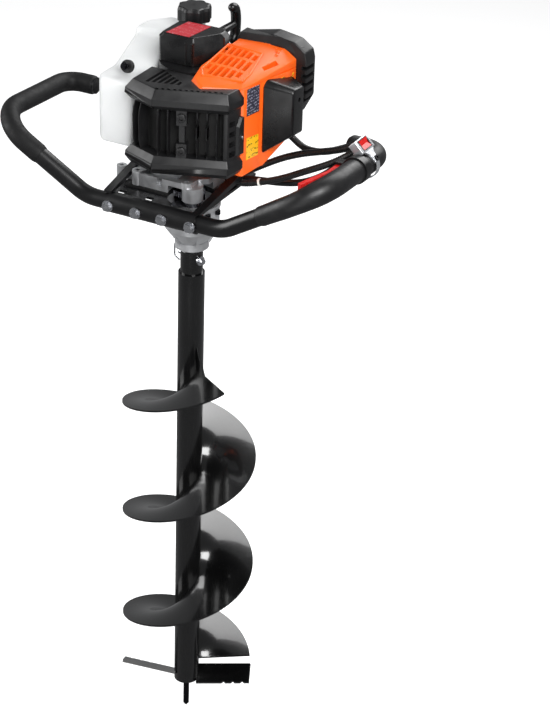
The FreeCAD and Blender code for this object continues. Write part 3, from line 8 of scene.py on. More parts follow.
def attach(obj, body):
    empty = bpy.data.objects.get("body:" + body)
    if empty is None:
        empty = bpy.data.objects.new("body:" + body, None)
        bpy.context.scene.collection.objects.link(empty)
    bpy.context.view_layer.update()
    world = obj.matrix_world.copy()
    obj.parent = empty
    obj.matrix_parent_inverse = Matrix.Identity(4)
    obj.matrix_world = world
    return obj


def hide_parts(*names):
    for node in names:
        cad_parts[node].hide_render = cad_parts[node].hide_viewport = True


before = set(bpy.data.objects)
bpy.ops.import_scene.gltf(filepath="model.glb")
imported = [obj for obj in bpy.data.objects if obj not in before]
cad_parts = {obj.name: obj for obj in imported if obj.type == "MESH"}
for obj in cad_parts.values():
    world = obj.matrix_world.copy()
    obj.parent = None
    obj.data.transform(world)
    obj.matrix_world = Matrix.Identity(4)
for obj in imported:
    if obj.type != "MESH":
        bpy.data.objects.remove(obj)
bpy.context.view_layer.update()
scene = bpy.context.scene
mm = 0.001


def mmPoint(point):
    return Vector(point) * mm


def hexColor(code):
    # sRGB hex to the linear colour that shaders take
    channels = [int(code[i:i + 2], 16) / 255 for i in (1, 3, 5)]
    return [c / 12.92 if c <= 0.04045 else ((c + 0.055) / 1.055) ** 2.4 for c in channels] + [1.0]


def addNode(tree, kind, inputs=None, **settings):
    node = tree.nodes.new(kind)
    for key, value in settings.items():
        setattr(node, key, value)
    for socket, value in (inputs or {}).items():
        if isinstance(value, bpy.types.NodeSocket):
            tree.links.new(value, node.inputs[socket])
        else:
            node.inputs[socket].default_value = value
    return node


# ---------- camera and light first, because the cords are measured against the view

cameraSetup = {"place": (1432.5, -2532.0, 2235.6), "ahead": (-0.3992, 0.7811, -0.4802), "roll": 0.033,
               "lens": 115.8}
cameraData = bpy.data.cameras.new("camera")
cameraData.lens = cameraSetup["lens"]
cameraData.clip_end = 50
camera = bpy.data.objects.new("camera", cameraData)
scene.collection.objects.link(camera)
camera.location = mmPoint(cameraSetup["place"])
camera.rotation_mode = "QUATERNION"
camera.rotation_quaternion = (Vector(cameraSetup["ahead"]).to_track_quat("-Z", "Y")
                              @ Quaternion((0, 0, 1), cameraSetup["roll"]))
scene.camera = camera

lightSetup = {
    "key": {"place": (1500, -1300, 2500), "aim": (0, 0, 850), "size": 1.3, "watts": 74},
    "left": {"place": (-2100, -900, 1500), "aim": (0, 0, 700), "size": 1.6, "watts": 42},
    "back": {"place": (300, 1900, 2500), "aim": (0, 0, 800), "size": 1.8, "watts": 48},
    "low": {"place": (700, -2300, 500), "aim": (0, 0, 400), "size": 1.2, "watts": 9},
}
for name, lamp in lightSetup.items():
    data = bpy.data.lights.new(name, "AREA")
    data.shape = "SQUARE"
    data.size = lamp["size"]
    data.energy = lamp["watts"]
    light = bpy.data.objects.new(name, data)
    scene.collection.objects.link(light)
    light.location = mmPoint(lamp["place"])
    light.rotation_euler = (mmPoint(lamp["aim"]) - light.location).to_track_quat("-Z", "Y").to_euler()

world = bpy.data.worlds.new("softRoom")
world.use_nodes = True
world.node_tree.nodes["Background"].inputs["Color"].default_value = hexColor("#f4f5f7")
world.node_tree.nodes["Background"].inputs["Strength"].default_value = 0.24
scene.world = world
scene.view_settings.view_transform = "Standard"
print("camera and lights ready")


# ---------- materials

def newMaterial(name):
    material = bpy.data.materials.new(name)
    material.use_nodes = True
    tree = material.node_tree
    return material, tree, tree.nodes["Principled BSDF"]


def surface(name, look):
    # one coloured, lightly varied finish with a bump of a real grain size
    material, tree, shader = newMaterial(name)
    place = addNode(tree, "ShaderNodeTexCoord").outputs["Object"]
    broad = addNode(tree, "ShaderNodeTexNoise", {"Vector": place, "Scale": 1 / (look["patch"] * mm),
                                                 "Detail": 3.0, "Roughness": 0.55})
    fine = addNode(tree, "ShaderNodeTexNoise", {"Vector": place, "Scale": 1 / (look["grain"] * mm),
                                                "Detail": 4.0, "Roughness": 0.6})
    # the Mix node has one A and B for each type, and the colour pair is named by its place
    tint = addNode(tree, "ShaderNodeMix", {"Factor": broad.outputs["Fac"]}, data_type="RGBA")
    tint.inputs[6].default_value = hexColor(look["dark"])
    tint.inputs[7].default_value = hexColor(look["light"])
    tree.links.new(tint.outputs[2], shader.inputs["Base Color"])
    span = look.get("roughSpread", 0.08)
    rough = addNode(tree, "ShaderNodeMapRange", {"Value": broad.outputs["Fac"], "From Min": 0.3,
                                                 "From Max": 0.7,
                                                 "To Min": look["rough"] - span,
                                                 "To Max": look["rough"] + span})
    tree.links.new(rough.outputs["Result"], shader.inputs["Roughness"])
    bump = addNode(tree, "ShaderNodeBump", {"Height": fine.outputs["Fac"], "Strength": look["bump"],
                                            "Distance": look.get("depth", 0.05) * mm})
    tree.links.new(bump.outputs["Normal"], shader.inputs["Normal"])
    shader.inputs["Metallic"].default_value = look.get("metal", 0.0)
    shader.inputs["Coat Weight"].default_value = look.get("coat", 0.0)
    shader.inputs["Coat Roughness"].default_value = look.get("coatRough", 0.05)
    shader.inputs["Specular IOR Level"].default_value = look.get("specular", 0.5)
    if "ior" in look:
        shader.inputs["IOR"].default_value = look["ior"]
    return material, tree, shader


finishes = {
    # powder-coated steel tube: black, satin, with a faint orange peel
    "powderCoatBlack": {"dark": "#070708", "light": "#0c0c0d", "rough": 0.34, "patch": 40, "grain": 1.6,
                        "bump": 0.25, "depth": 0.05, "ior": 1.5},
    # gloss stoving enamel on the bit: deep black with long clean reflections
    "stovedEnamelGloss": {"dark": "#040404", "light": "#070708", "rough": 0.2, "roughSpread": 0.05,
                          "patch": 60,
                          "grain": 4, "bump": 0.12, "depth": 0.08, "coat": 0.6, "coatRough": 0.06,
                          "ior": 1.5},
    # black oxide twist drill: dark grey metal with an oily sheen
    "blackOxideSteel": {"dark": "#1b1b1d", "light": "#29292c", "rough": 0.36, "patch": 6, "grain": 0.5,
                        "bump": 0.3, "metal": 1.0},
    # bright zinc plate: pale blue-grey metal, slightly cloudy
    "brightZincPlate": {"dark": "#b9bbc0", "light": "#dcdde0", "rough": 0.24, "patch": 5, "grain": 0.4,
                        "bump": 0.15, "metal": 1.0},
    # machined steel: plain grey metal with fine tool marks
    "machinedSteel": {"dark": "#85868a", "light": "#a3a4a8", "rough": 0.32, "patch": 8, "grain": 0.35,
                      "bump": 0.3, "metal": 1.0},
    # shot-blasted pressure die casting: bright, matt, finely pitted
    "blastedAluminium": {"dark": "#b4b5b7", "light": "#d6d7d9", "rough": 0.48, "patch": 12, "grain": 0.9,
                         "bump": 0.5, "depth": 0.12, "metal": 0.85},
    # as-cast aluminium: duller grey with a coarser skin
    "rawCastAluminium": {"dark": "#7c7d80", "light": "#a2a3a6", "rough": 0.5, "patch": 14, "grain": 1.2,
                         "bump": 0.6, "depth": 0.15, "metal": 0.8},
    # spark-eroded glass-filled nylon: black, dull sheen, fine even texture
    "mouldedNylonBlack": {"dark": "#101011", "light": "#181819", "rough": 0.42, "patch": 18, "grain": 0.8,
                          "bump": 0.45, "depth": 0.06, "ior": 1.5},
    # smoother black nylon for the caps and covers that are handled
    "polishedNylonBlack": {"dark": "#09090a", "light": "#0f0f10", "rough": 0.3, "patch": 22, "grain": 1.0,
                           "bump": 0.2, "depth": 0.05, "ior": 1.5},
    # moulded orange ABS: saturated, half gloss
    "mouldedAbsOrange": {"dark": "#f05a10", "light": "#fb6a1c", "rough": 0.33, "roughSpread": 0.04,
                         "patch": 30,
                         "grain": 0.9, "bump": 0.18, "depth": 0.05, "ior": 1.5},
    # closed-cell EVA foam sleeve: black, soft, with a pebbled skin
    "evaFoamBlack": {"dark": "#070708", "light": "#0d0d0e", "rough": 0.62, "patch": 10, "grain": 0.9,
                     "bump": 0.7, "depth": 0.14, "specular": 0.3},
    # moulded thermoplastic grip: black with a dull leathery grain
    "grainedGripBlack": {"dark": "#0b0b0c", "light": "#131314", "rough": 0.44, "patch": 14, "grain": 1.3,
                         "bump": 0.5, "depth": 0.1},
    # split loom tubing: black polyethylene with a waxy sheen
    "loomPolyethylene": {"dark": "#070708", "light": "#0d0d0e", "rough": 0.36, "patch": 9, "grain": 0.8,
                         "bump": 0.2},
    # red acetal: glossy, even colour
    "redAcetal": {"dark": "#b40e0a", "light": "#d3150f", "rough": 0.28, "patch": 12, "grain": 0.9,
                  "bump": 0.15},
    # black rubber pad
    "blackRubber": {"dark": "#0d0d0d", "light": "#181818", "rough": 0.6, "patch": 12, "grain": 0.8,
                    "bump": 0.5},
    # exhaust sheet in matt heat-proof black
    "heatedExhaustSteel": {"dark": "#0b0b0b", "light": "#151413", "rough": 0.6, "patch": 15, "grain": 0.7,
                           "bump": 0.4},
    # glazed white ceramic
    "glazedCeramic": {"dark": "#dedcd4", "light": "#eeece6", "rough": 0.15, "patch": 10, "grain": 1,
                      "bump": 0.05},
    # near-black, very rough sheet that paints shade: the wall behind the guard's fins and the deck under the
    # grille
    "paintedShadeBlack": {"dark": "#020202", "light": "#040404", "rough": 0.85, "patch": 20, "grain": 1.5,
                   "bump": 0.3},
    # silver paint on the switch body
    "silverPaint": {"dark": "#aeb0b3", "light": "#c9cbce", "rough": 0.3, "patch": 9, "grain": 0.5,
                    "bump": 0.2,
                    "metal": 0.75},
}
materials = {name: surface(name, look)[0] for name, look in finishes.items()}


def polythene():
    # blow-moulded natural HDPE: milky, lets light bleed through its wall, satin skin
    look = {"dark": "#cfd1d1", "light": "#dcdddd", "rough": 0.38, "patch": 45, "grain": 2.5, "bump": 0.2,
            "depth": 0.1, "ior": 1.5}
    material, tree, shader = surface("blowMouldedPolythene", look)
    shader.inputs["Subsurface Weight"].default_value = 0.35
    shader.inputs["Subsurface Radius"].default_value = (0.012, 0.012, 0.011)
    shader.inputs["Subsurface Scale"].default_value = 0.6
    return material


def printedLabel(name, ground, ink, rowMm, letterMm, share):
    # varnished paper label with rows of small generic marks in place of words
    material, tree, shader = newMaterial(name)
    place = addNode(tree, "ShaderNodeUVMap").outputs["UV"]
    parts = addNode(tree, "ShaderNodeSeparateXYZ", {"Vector": place})
    row = addNode(tree, "ShaderNodeMath", {0: parts.outputs["Y"], 1: 1 / (rowMm * mm)}, operation="MULTIPLY")
    rowShare = addNode(tree, "ShaderNodeMath", {0: row.outputs[0]}, operation="FRACT")
    rowInk = addNode(tree, "ShaderNodeMath", {0: rowShare.outputs[0], 1: 0.5}, operation="LESS_THAN")
    cell = addNode(tree, "ShaderNodeTexVoronoi", {"Vector": place, "Scale": 1 / (letterMm * mm)},
                   feature="F1", distance="CHEBYCHEV")
    letters = addNode(tree, "ShaderNodeMath", {0: cell.outputs["Distance"], 1: share}, operation="LESS_THAN")
    marks = addNode(tree, "ShaderNodeMath", {0: rowInk.outputs[0], 1: letters.outputs[0]},
                    operation="MULTIPLY")
    tint = addNode(tree, "ShaderNodeMix", {0: marks.outputs[0]}, data_type="RGBA")
    tint.inputs[6].default_value = hexColor(ground)
    tint.inputs[7].default_value = hexColor(ink)
    tree.links.new(tint.outputs[2], shader.inputs["Base Color"])
    shader.inputs["Roughness"].default_value = 0.3
    shader.inputs["Coat Weight"].default_value = 0.4
    return material


materials["polythene"] = polythene()
materials["darkLabel"] = printedLabel("printedLabelDark", "#2a2a38", "#b9b9cc", 4.6, 1.9, 0.32)
materials["yellowLabel"] = printedLabel("printedLabelYellow", "#f2b61a", "#3a2c08", 9.0, 2.6, 0.3)
materials["redLabel"] = printedLabel("printedLabelRed", "#b3202c", "#d8a0a4", 11.0, 1.8, 0.22)
print(len(materials), "materials ready")


# ---------- mesh helpers

def newPiece(name, bm, material, body, bevel=0.0, segments=3, sharp=30, replaces=()):
    bmesh.ops.recalc_face_normals(bm, faces=bm.faces)
    mesh = bpy.data.meshes.new(name)
    bm.to_mesh(mesh)
    bm.free()
    piece = bpy.data.objects.new(name, mesh)
    scene.collection.objects.link(piece)
    mesh.materials.append(materials[material])
    finishPiece(piece, bevel, segments, sharp)
    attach(piece, body)
    if replaces:
        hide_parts(*replaces)
    return piece


def finishPiece(piece, bevel, segments, sharp):
    if bevel:
        rounding = piece.modifiers.new("rounding", "BEVEL")
        rounding.width = bevel * mm
        rounding.segments = segments
        rounding.limit_method = "ANGLE"
        rounding.angle_limit = math.radians(sharp)
        rounding.harden_normals = True
        for polygon in piece.data.polygons:
            polygon.use_smooth = True
    else:
        piece.data.set_sharp_from_angle(angle=math.radians(sharp))
        for polygon in piece.data.polygons:
            polygon.use_smooth = True


def hull(bm, points):
    # closed faceted body round a few named corners
    verts = [bm.verts.new(mmPoint(p)) for p in points]
    made = bmesh.ops.convex_hull(bm, input=verts)
    spare = [g for g in made["geom_interior"] + made["geom_unused"] if isinstance(g, bmesh.types.BMVert)]
    bmesh.ops.delete(bm, geom=list(set(spare)), context="VERTS")
    alive = [v for v in verts if v.is_valid]
    edges = list({e for v in alive for e in v.link_edges})
    bmesh.ops.dissolve_limit(bm, angle_limit=math.radians(2), verts=alive, edges=edges)


def prismHull(bm, plan, low, high):
    hull(bm, [(x, y, z) for x, y in plan for z in (low, high)])


def loft(bm, rings):
    # a solid through rings with the same number of corners
    ring = [bm.verts.new(mmPoint(p)) for p in rings[0]]
    face = bm.faces.new(ring)
    for points in rings[1:]:
        made = bmesh.ops.extrude_face_region(bm, geom=[face])
        fresh = [g for g in made["geom"] if isinstance(g, bmesh.types.BMVert)]
        face = [g for g in made["geom"] if isinstance(g, bmesh.types.BMFace)][0]
        following = []
        for old, point in zip(ring, points):
            twin = min(fresh, key=lambda v: (v.co - old.co).length)
            fresh.remove(twin)
            following.append((twin, point))
        for twin, point in following:
            twin.co = mmPoint(point)
        ring = [twin for twin, point in following]
    bmesh.ops.holes_fill(bm, edges=[e for e in bm.edges if e.is_boundary], sides=0)


def box(bm, low, high):
    prismHull(bm, [(low[0], low[1]), (high[0], low[1]), (high[0], high[1]), (low[0], high[1])], low[2],
              high[2])


def rod(bm, start, end, radius, sides=24, tip=None):
    start, end = mmPoint(start), mmPoint(end)
    turn = (end - start).to_track_quat("Z", "Y").to_matrix().to_4x4()
    place = Matrix.Translation((start + end) / 2) @ turn
    bmesh.ops.create_cone(bm, cap_ends=True, segments=sides, radius1=radius * mm,
                          radius2=(radius if tip is None else tip) * mm, depth=(end - start).length,
                          matrix=place)


def carve(piece, cutterMesh, sharp=30):
    # the rounding is made real first, so that it never runs over the cut's edges
    mesh = bpy.data.meshes.new("cutter")
    bmesh.ops.recalc_face_normals(cutterMesh, faces=cutterMesh.faces)
    cutterMesh.to_mesh(mesh)
    cutterMesh.free()
    cutter = bpy.data.objects.new("cutter", mesh)
    scene.collection.objects.link(cutter)
    for modifier in piece.modifiers:
        modifier.harden_normals = False
    cut = piece.modifiers.new("cut", "BOOLEAN")
    cut.operation = "DIFFERENCE"
    cut.solver = "EXACT"
    cut.use_self = True
    cut.object = cutter
    graph = bpy.context.evaluated_depsgraph_get()
    fresh = bpy.data.meshes.new_from_object(piece.evaluated_get(graph))
    piece.modifiers.clear()
    piece.data = fresh
    fresh.set_sharp_from_angle(angle=math.radians(sharp))
    for polygon in fresh.polygons:
        polygon.use_smooth = True
    bpy.data.objects.remove(cutter)


def sweep(line, radii, sides=16):
    # a tube along points, with its own radius at each, and closed ends
    bm = bmesh.new()
    bmesh.ops.create_grid(bm, x_segments=sides, y_segments=len(line) - 1, size=1)
    rows = {y: k for k, y in enumerate(sorted({round(v.co.y, 5) for v in bm.verts}))}
    ahead = [(line[min(k + 1, len(line) - 1)] - line[max(k - 1, 0)]).normalized() for k in range(len(line))]
    side = ahead[0].orthogonal().normalized()
    frames = []
    for direction in ahead:
        side = (side - direction * side.dot(direction)).normalized()
        frames.append((side, direction.cross(side)))
    for vert in bm.verts:
        k = min(rows[round(vert.co.y, 5)], len(line) - 1)
        angle = (vert.co.x + 1) * math.pi
        vert.co = line[k] + (frames[k][0] * math.cos(angle) + frames[k][1] * math.sin(angle)) * radii[k]
    bmesh.ops.remove_doubles(bm, verts=bm.verts, dist=1e-6)
    bmesh.ops.holes_fill(bm, edges=bm.edges, sides=0)
    return bm


def splineLine(points):
    # points read along a NURBS spline through the route's control points
    curve = bpy.data.curves.new("route", "CURVE")
    curve.dimensions = "3D"
    spline = curve.splines.new("NURBS")
    spline.points.add(len(points) - 1)
    for control, point in zip(spline.points, points):
        control.co = (*mmPoint(point), 1)
    spline.order_u = 3
    spline.use_endpoint_u = True
    spline.resolution_u = 24
    holder = bpy.data.objects.new("route", curve)
    scene.collection.objects.link(holder)
    graph = bpy.context.evaluated_depsgraph_get()
    mesh = bpy.data.meshes.new_from_object(holder.evaluated_get(graph))
    line = [v.co.copy() for v in mesh.vertices]
    bpy.data.objects.remove(holder)
    bpy.data.meshes.remove(mesh)
    return line


def evenly(line, step):
    # the same line with its points one step apart
    length = sum((b - a).length for a, b in zip(line, line[1:]))
    count = max(2, round(length / step))
    spaced, walked, index = [line[0]], 0.0, 0
    for number in range(1, count):
        target = length * number / count
        while walked + (line[index + 1] - line[index]).length < target:
            walked += (line[index + 1] - line[index]).length
            index += 1
        run = line[index + 1] - line[index]
        spaced.append(line[index] + run * ((target - walked) / run.length))
    return spaced + [line[-1]], length


def bentRoute(points, radii):
    # straight runs joined by arcs, for pieces that sit on the bent tube
    points = [mmPoint(p) for p in points]
    route = [points[0]]
    for index in range(1, len(points) - 1):
        corner = points[index]
        back = (points[index - 1] - corner).normalized()
        ahead = (points[index + 1] - corner).normalized()
        half = back.angle(ahead) / 2
        radius = radii[index - 1] * mm
        centre = corner + (back + ahead).normalized() * (radius / math.sin(half))
        entry = corner + back * (radius / math.tan(half))
        leave = corner + ahead * (radius / math.tan(half))
        axis = (entry - centre).cross(leave - centre).normalized()
        sweepAngle = math.pi - 2 * half
        for step in range(13):
            turn = Quaternion(axis, sweepAngle * step / 12)
            route.append(centre + turn @ (entry - centre))
    return route + [points[-1]]


# ---------- cable looms

loomSetup = {"diameter": 10, "pitch": 2.8, "groove": 0.6}
loomRoutes = {
    "conduit_upper": [(19, 87, 898), (31, 87, 901), (44, 92, 907), (60, 98, 916.5), (87, 102, 932),
                      (118, 102, 946),
                      (151, 96.5, 958.5), (182, 91.5, 970), (198, 90.5, 978), (208, 91, 984)],
    "conduit_middle": [(19, 63, 896), (33, 64, 896), (51, 65, 898), (77, 67, 906), (107, 68, 918),
                       (140, 69, 936),
                       (170, 70, 951.5), (188, 73, 962), (199, 77, 970), (209, 80, 976)],
    "conduit_lower": [(19, 75, 896), (31, 75.5, 897), (46, 78, 899.5), (72, 81, 901), (100, 82, 904),
                      (128, 80, 911.5), (156, 74, 926.5), (182, 66, 947.5), (198, 60, 963)],
    "conduit_rear": [(63, 152, 950), (75, 150, 946.5), (88, 146, 940.5), (103, 141, 936), (127, 131, 940),
                     (154, 113, 953), (178, 103.5, 966.5), (192, 102, 974), (203, 101.5, 982)],
}
for node, points in loomRoutes.items():
    line, length = evenly(splineLine(points), loomSetup["pitch"] * mm / 4)
    crest = loomSetup["diameter"] / 2 * mm
    groove = 0 if node == "conduit_lower" else loomSetup["groove"] * mm
    wave = [crest, crest, crest - groove, crest - groove]
    tube = sweep(line, [wave[k % 4] for k in range(len(line))], sides=18)
    loom = newPiece(node + "_loom", tube, "loomPolyethylene", "powerhead", sharp=60,
                    replaces=(node,))
tieSetup = {"place": (71, 66.6, 904.4), "along": (0.95, 0.07, 0.29), "radius": 5.7, "wide": 3.0}
tie = bmesh.new()
tieAhead = Vector(tieSetup["along"]).normalized() * tieSetup["wide"] / 2
rod(tie, Vector(tieSetup["place"]) - tieAhead, Vector(tieSetup["place"]) + tieAhead, tieSetup["radius"])
newPiece("loom_tie", tie, "glazedCeramic", "powerhead", bevel=0.4)
print("looms ready")


# ---------- grips on the bent handle tubes

handleSetup = {"centre": -28, "barY": -59, "barZ": 883, "bendOne": 109.6, "half": 258, "gripY": -66,
               "gripZ": 974, "endY": 126, "endZ": 964, "stub": 50, "bendTwoRadius": 54, "endRadius": 26}


def handleCorners(side):
    c = handleSetup
    return [Vector((c["centre"] + side * c["bendOne"], c["barY"], c["barZ"])),
            Vector((c["centre"] + side * c["half"], c["gripY"], c["gripZ"])),
            Vector((c["centre"] + side * c["half"], c["endY"], c["endZ"])),
            Vector((c["centre"] + side * (c["half"] - c["stub"] - 2.5), c["endY"], c["endZ"]))]


def gripPiece(name, side, start, profile, material, node, cell):
    # profile gives the radius at shares of the grip's length, and its last stretch closes in a dome
    low, corner, backCorner, end = handleCorners(side)
    route = bentRoute([low + (corner - low) * start, corner, backCorner, end],
                      [handleSetup["bendTwoRadius"], handleSetup["endRadius"]])
    line, length = evenly(route, cell * mm)
    radii = []
    domeLength = 9 * mm
    for k in range(len(line)):
        share = k / (len(line) - 1)
        below = max(i for i in range(len(profile) - 1) if profile[i][0] <= share)
        (s0, r0), (s1, r1) = profile[below], profile[below + 1]
        t = (share - s0) / (s1 - s0)
        radius = (r0 + (r1 - r0) * t * t * (3 - 2 * t)) * mm
        left = (1 - share) * length
        if left < domeLength:
            radius *= math.sqrt(max(0.0004, 1 - (1 - left / domeLength) ** 2))
        radii.append(radius)
    bm = sweep(line, radii, sides=40)
    return newPiece(name, bm, material, "powerhead", sharp=50, replaces=(node,)), length


foamSleeve, foamLength = gripPiece("foam_sleeve", -1, 0.5, [(0, 13.2), (0.02, 14.25), (1, 14.25)],
                                   "evaFoamBlack", "foam_grip", 2.5)
gripLength = gripPiece(
    "moulded_grip", 1, 0.4,
    [(0, 13.4), (0.01, 14.2), (0.16, 15.2), (0.34, 17.6), (0.6, 17.2), (0.8, 16), (1, 16)],
    "grainedGripBlack", "throttle_grip", 2.5)[1]
print("grips ready", round(foamLength, 3), round(gripLength, 3))


# ---------- muffler guard

guardSetup = {"left": (-98, -21), "ridge": (-42, -43), "right": (58, -5), "end": (63, 22), "back": 30,
              "low": 931, "high": 1056, "topBack": 36}


def guardPlan(inset, z, back=None):
    g = guardSetup
    back = g["back"] if back is None else back
    return [(g["left"][0] + inset, back, z), (g["left"][0] + inset, g["left"][1] + inset * 0.5, z),
            (g["ridge"][0], g["ridge"][1] + inset, z), (g["right"][0] - inset * 0.5,
                                                        g["right"][1] + inset * 0.6, z),
            (g["end"][0] - inset * 0.8, g["end"][1], z), (g["end"][0] - inset * 0.8, back, z)]


def facetPoint(start, end, share, out):
    # a point on a front facet, moved out of it by a distance
    a, b = Vector(start), Vector(end)
    along = (b - a).normalized()
    return a + (b - a) * share + Vector((along.y, -along.x)) * out


def mufflerGuard():
    g = guardSetup
    bm = bmesh.new()
    high, low = g["high"], g["low"]
    # upper band: flat top, bright sloping shoulder, upright lip and an undercut
    loft(bm, [guardPlan(10, high, g["topBack"]), guardPlan(0, high - 13), guardPlan(0, high - 22),
              guardPlan(7, high - 29), guardPlan(14, high - 30)])
    # lower band, the other way up
    loft(bm, [guardPlan(12, low + 27), guardPlan(7, low + 26), guardPlan(0, low + 17), guardPlan(0, low + 8),
              guardPlan(6, low)])
    guard = newPiece("guard_shell", bm, "mouldedNylonBlack", "powerhead", bevel=1.1,
                     replaces=("muffler_guard",))
    # a near-black wall behind the fins, painted shade
    wall = bmesh.new()
    loft(wall, [guardPlan(24, low + 12), guardPlan(24, high - 20)])
    newPiece("guard_back_wall", wall, "paintedShadeBlack", "powerhead")
    cutters = bmesh.new()
    # slatted three-cornered vent in the top
    vent = {"left": -68, "slats": 7, "step": 8.4, "wide": 5}
    for number in range(vent["slats"]):
        left = vent["left"] + number * vent["step"]
        top = 34 - number * 5.4
        bottom = -17 + number * 2.2
        if top - bottom > 6:
            hull(cutters, [(left, bottom, high - 7), (left + 5, bottom + 1.2, high - 7),
                           (left + 5, top - 1.6, high - 7),
                           (left, top, high - 7), (left, bottom, high + 2),
                           (left + 5, bottom + 1.2, high + 2),
                           (left + 5, top - 1.6, high + 2), (left, top, high + 2)])
    # notches along the top's front edge
    for number in range(12):
        spot = facetPoint(g["ridge"], g["right"], 0.05 + number * 0.076, -11)
        hull(cutters, [(spot.x + dx, spot.y + dy, z) for dx in (-2.4, 2.4) for dy in (-1.8, 2.2)
                       for z in (high - 3, high + 1)])
    carve(guard, cutters)
    return guard


def guardFins():
    g = guardSetup
    bm = bmesh.new()
    high, low = g["high"], g["low"]
    fins = [("left", "ridge", 0.2), ("left", "ridge", 0.42), ("ridge", "right", 0.07),
            ("ridge", "right", 0.2),
            ("ridge", "right", 0.58), ("ridge", "right", 0.71), ("ridge", "right", 0.84)]
    for start, end, share in fins:
        half = 0.9
        a, b = Vector(g[start]), Vector(g[end])
        along = (b - a).normalized() * half
        inward = Vector((-(b - a).normalized().y, (b - a).normalized().x))
        front = facetPoint(g[start], g[end], share, -4)
        back = front + inward * 20
        profile = [(low + 13, 6), (low + 24, 4.5), (low + 38, 1), (high - 52, 0), (high - 40, 1.5),
                   (high - 27, 6)]
        rings = []
        for z, depth in profile:
            f = front + inward * depth
            rings.append([(f.x - along.x, f.y - along.y, z), (f.x + along.x, f.y + along.y, z),
                          (back.x + along.x * 1.8, back.y + along.y * 1.8, z),
                          (back.x - along.x * 1.8, back.y - along.y * 1.8, z)])
        loft(bm, rings)
    # the middle panel with its two screw bosses
    for z0, z1 in ((low + 26, low + 47), (high - 51, high - 27)):
        near = [facetPoint(g["ridge"], g["right"], s, -6) for s in (0.31, 0.45)]
        far = [facetPoint(g["ridge"], g["right"], s, -20) for s in (0.45, 0.31)]
        prismHull(bm, [tuple(p) for p in near + far], z0, z1)
    near = [facetPoint(g["ridge"], g["right"], s, -10) for s in (0.34, 0.42)]
    far = [facetPoint(g["ridge"], g["right"], s, -20) for s in (0.42, 0.34)]
    prismHull(bm, [tuple(p) for p in near + far], low + 30, high - 30)
    newPiece("guard_fins", bm, "mouldedNylonBlack", "powerhead", bevel=0.5, segments=2)
    rings = bmesh.new()
    for z in (low + 36, high - 39):
        out = facetPoint(g["ridge"], g["right"], 0.38, -3)
        back = facetPoint(g["ridge"], g["right"], 0.38, -12)
        rod(rings, (back.x, back.y, z), (out.x, out.y, z), 6.4)
    bosses = newPiece("guard_bosses", rings, "mouldedNylonBlack", "powerhead", bevel=0.8)
    holes = bmesh.new()
    for z in (low + 36, high - 39):
        out = facetPoint(g["ridge"], g["right"], 0.38, 2)
        back = facetPoint(g["ridge"], g["right"], 0.38, -8)
        rod(holes, (back.x, back.y, z), (out.x, out.y, z), 3.4)
    carve(bosses, holes)
    screws = bmesh.new()
    for z in (low + 36, high - 39):
        out = facetPoint(g["ridge"], g["right"], 0.38, -6.6)
        back = facetPoint(g["ridge"], g["right"], 0.38, -9)
        rod(screws, (back.x, back.y, z), (out.x, out.y, z), 2.9, sides=6)
    newPiece("guard_screws", screws, "blackOxideSteel", "powerhead", bevel=0.3)


def guardSide():
    # slotted right-hand end of the guard, and the clip plate over it
    g = guardSetup
    bm = bmesh.new()
    prismHull(bm, [(48, -2), (54.5, 0), (59, 20), (59, 34), (48, 34)], g["low"] + 14, g["high"] - 24)
    side = newPiece("guard_side", bm, "mouldedNylonBlack", "powerhead", bevel=1.2)
    slots = bmesh.new()
    for number in range(4):
        z = g["low"] + 30 + number * 15
        prismHull(slots, [(50, 3), (62, 3), (62, 15), (50, 15)], z, z + 8)
    carve(side, slots)
    clip = bmesh.new()
    loft(clip, [[(56, 16, 958), (56, 33, 958), (56, 33, 1018), (56, 25, 1018), (56, 16, 1005)],
                [(63, 18, 962), (63, 32, 960), (63, 32, 1016), (63, 26, 1014), (63, 18, 1003)]])
    newPiece("guard_clip", clip, "mouldedNylonBlack", "powerhead", bevel=0.8)
    screw = bmesh.new()
    rod(screw, (62, 26, 986), (64.6, 26, 986), 2.6, sides=20)
    newPiece("guard_clip_screw", screw, "brightZincPlate", "powerhead", bevel=0.5)


mufflerGuard()
guardFins()
guardSide()
print("muffler guard ready")


# ---------- orange shroud

shroudSetup = {"slatPitch": 9.6, "slotWide": 6.2, "slotLeft": -9,
               "starts": [46, 34, 33, 35, 38, 45], "bars": [(58, 63), (86, 91)], "end": 110}


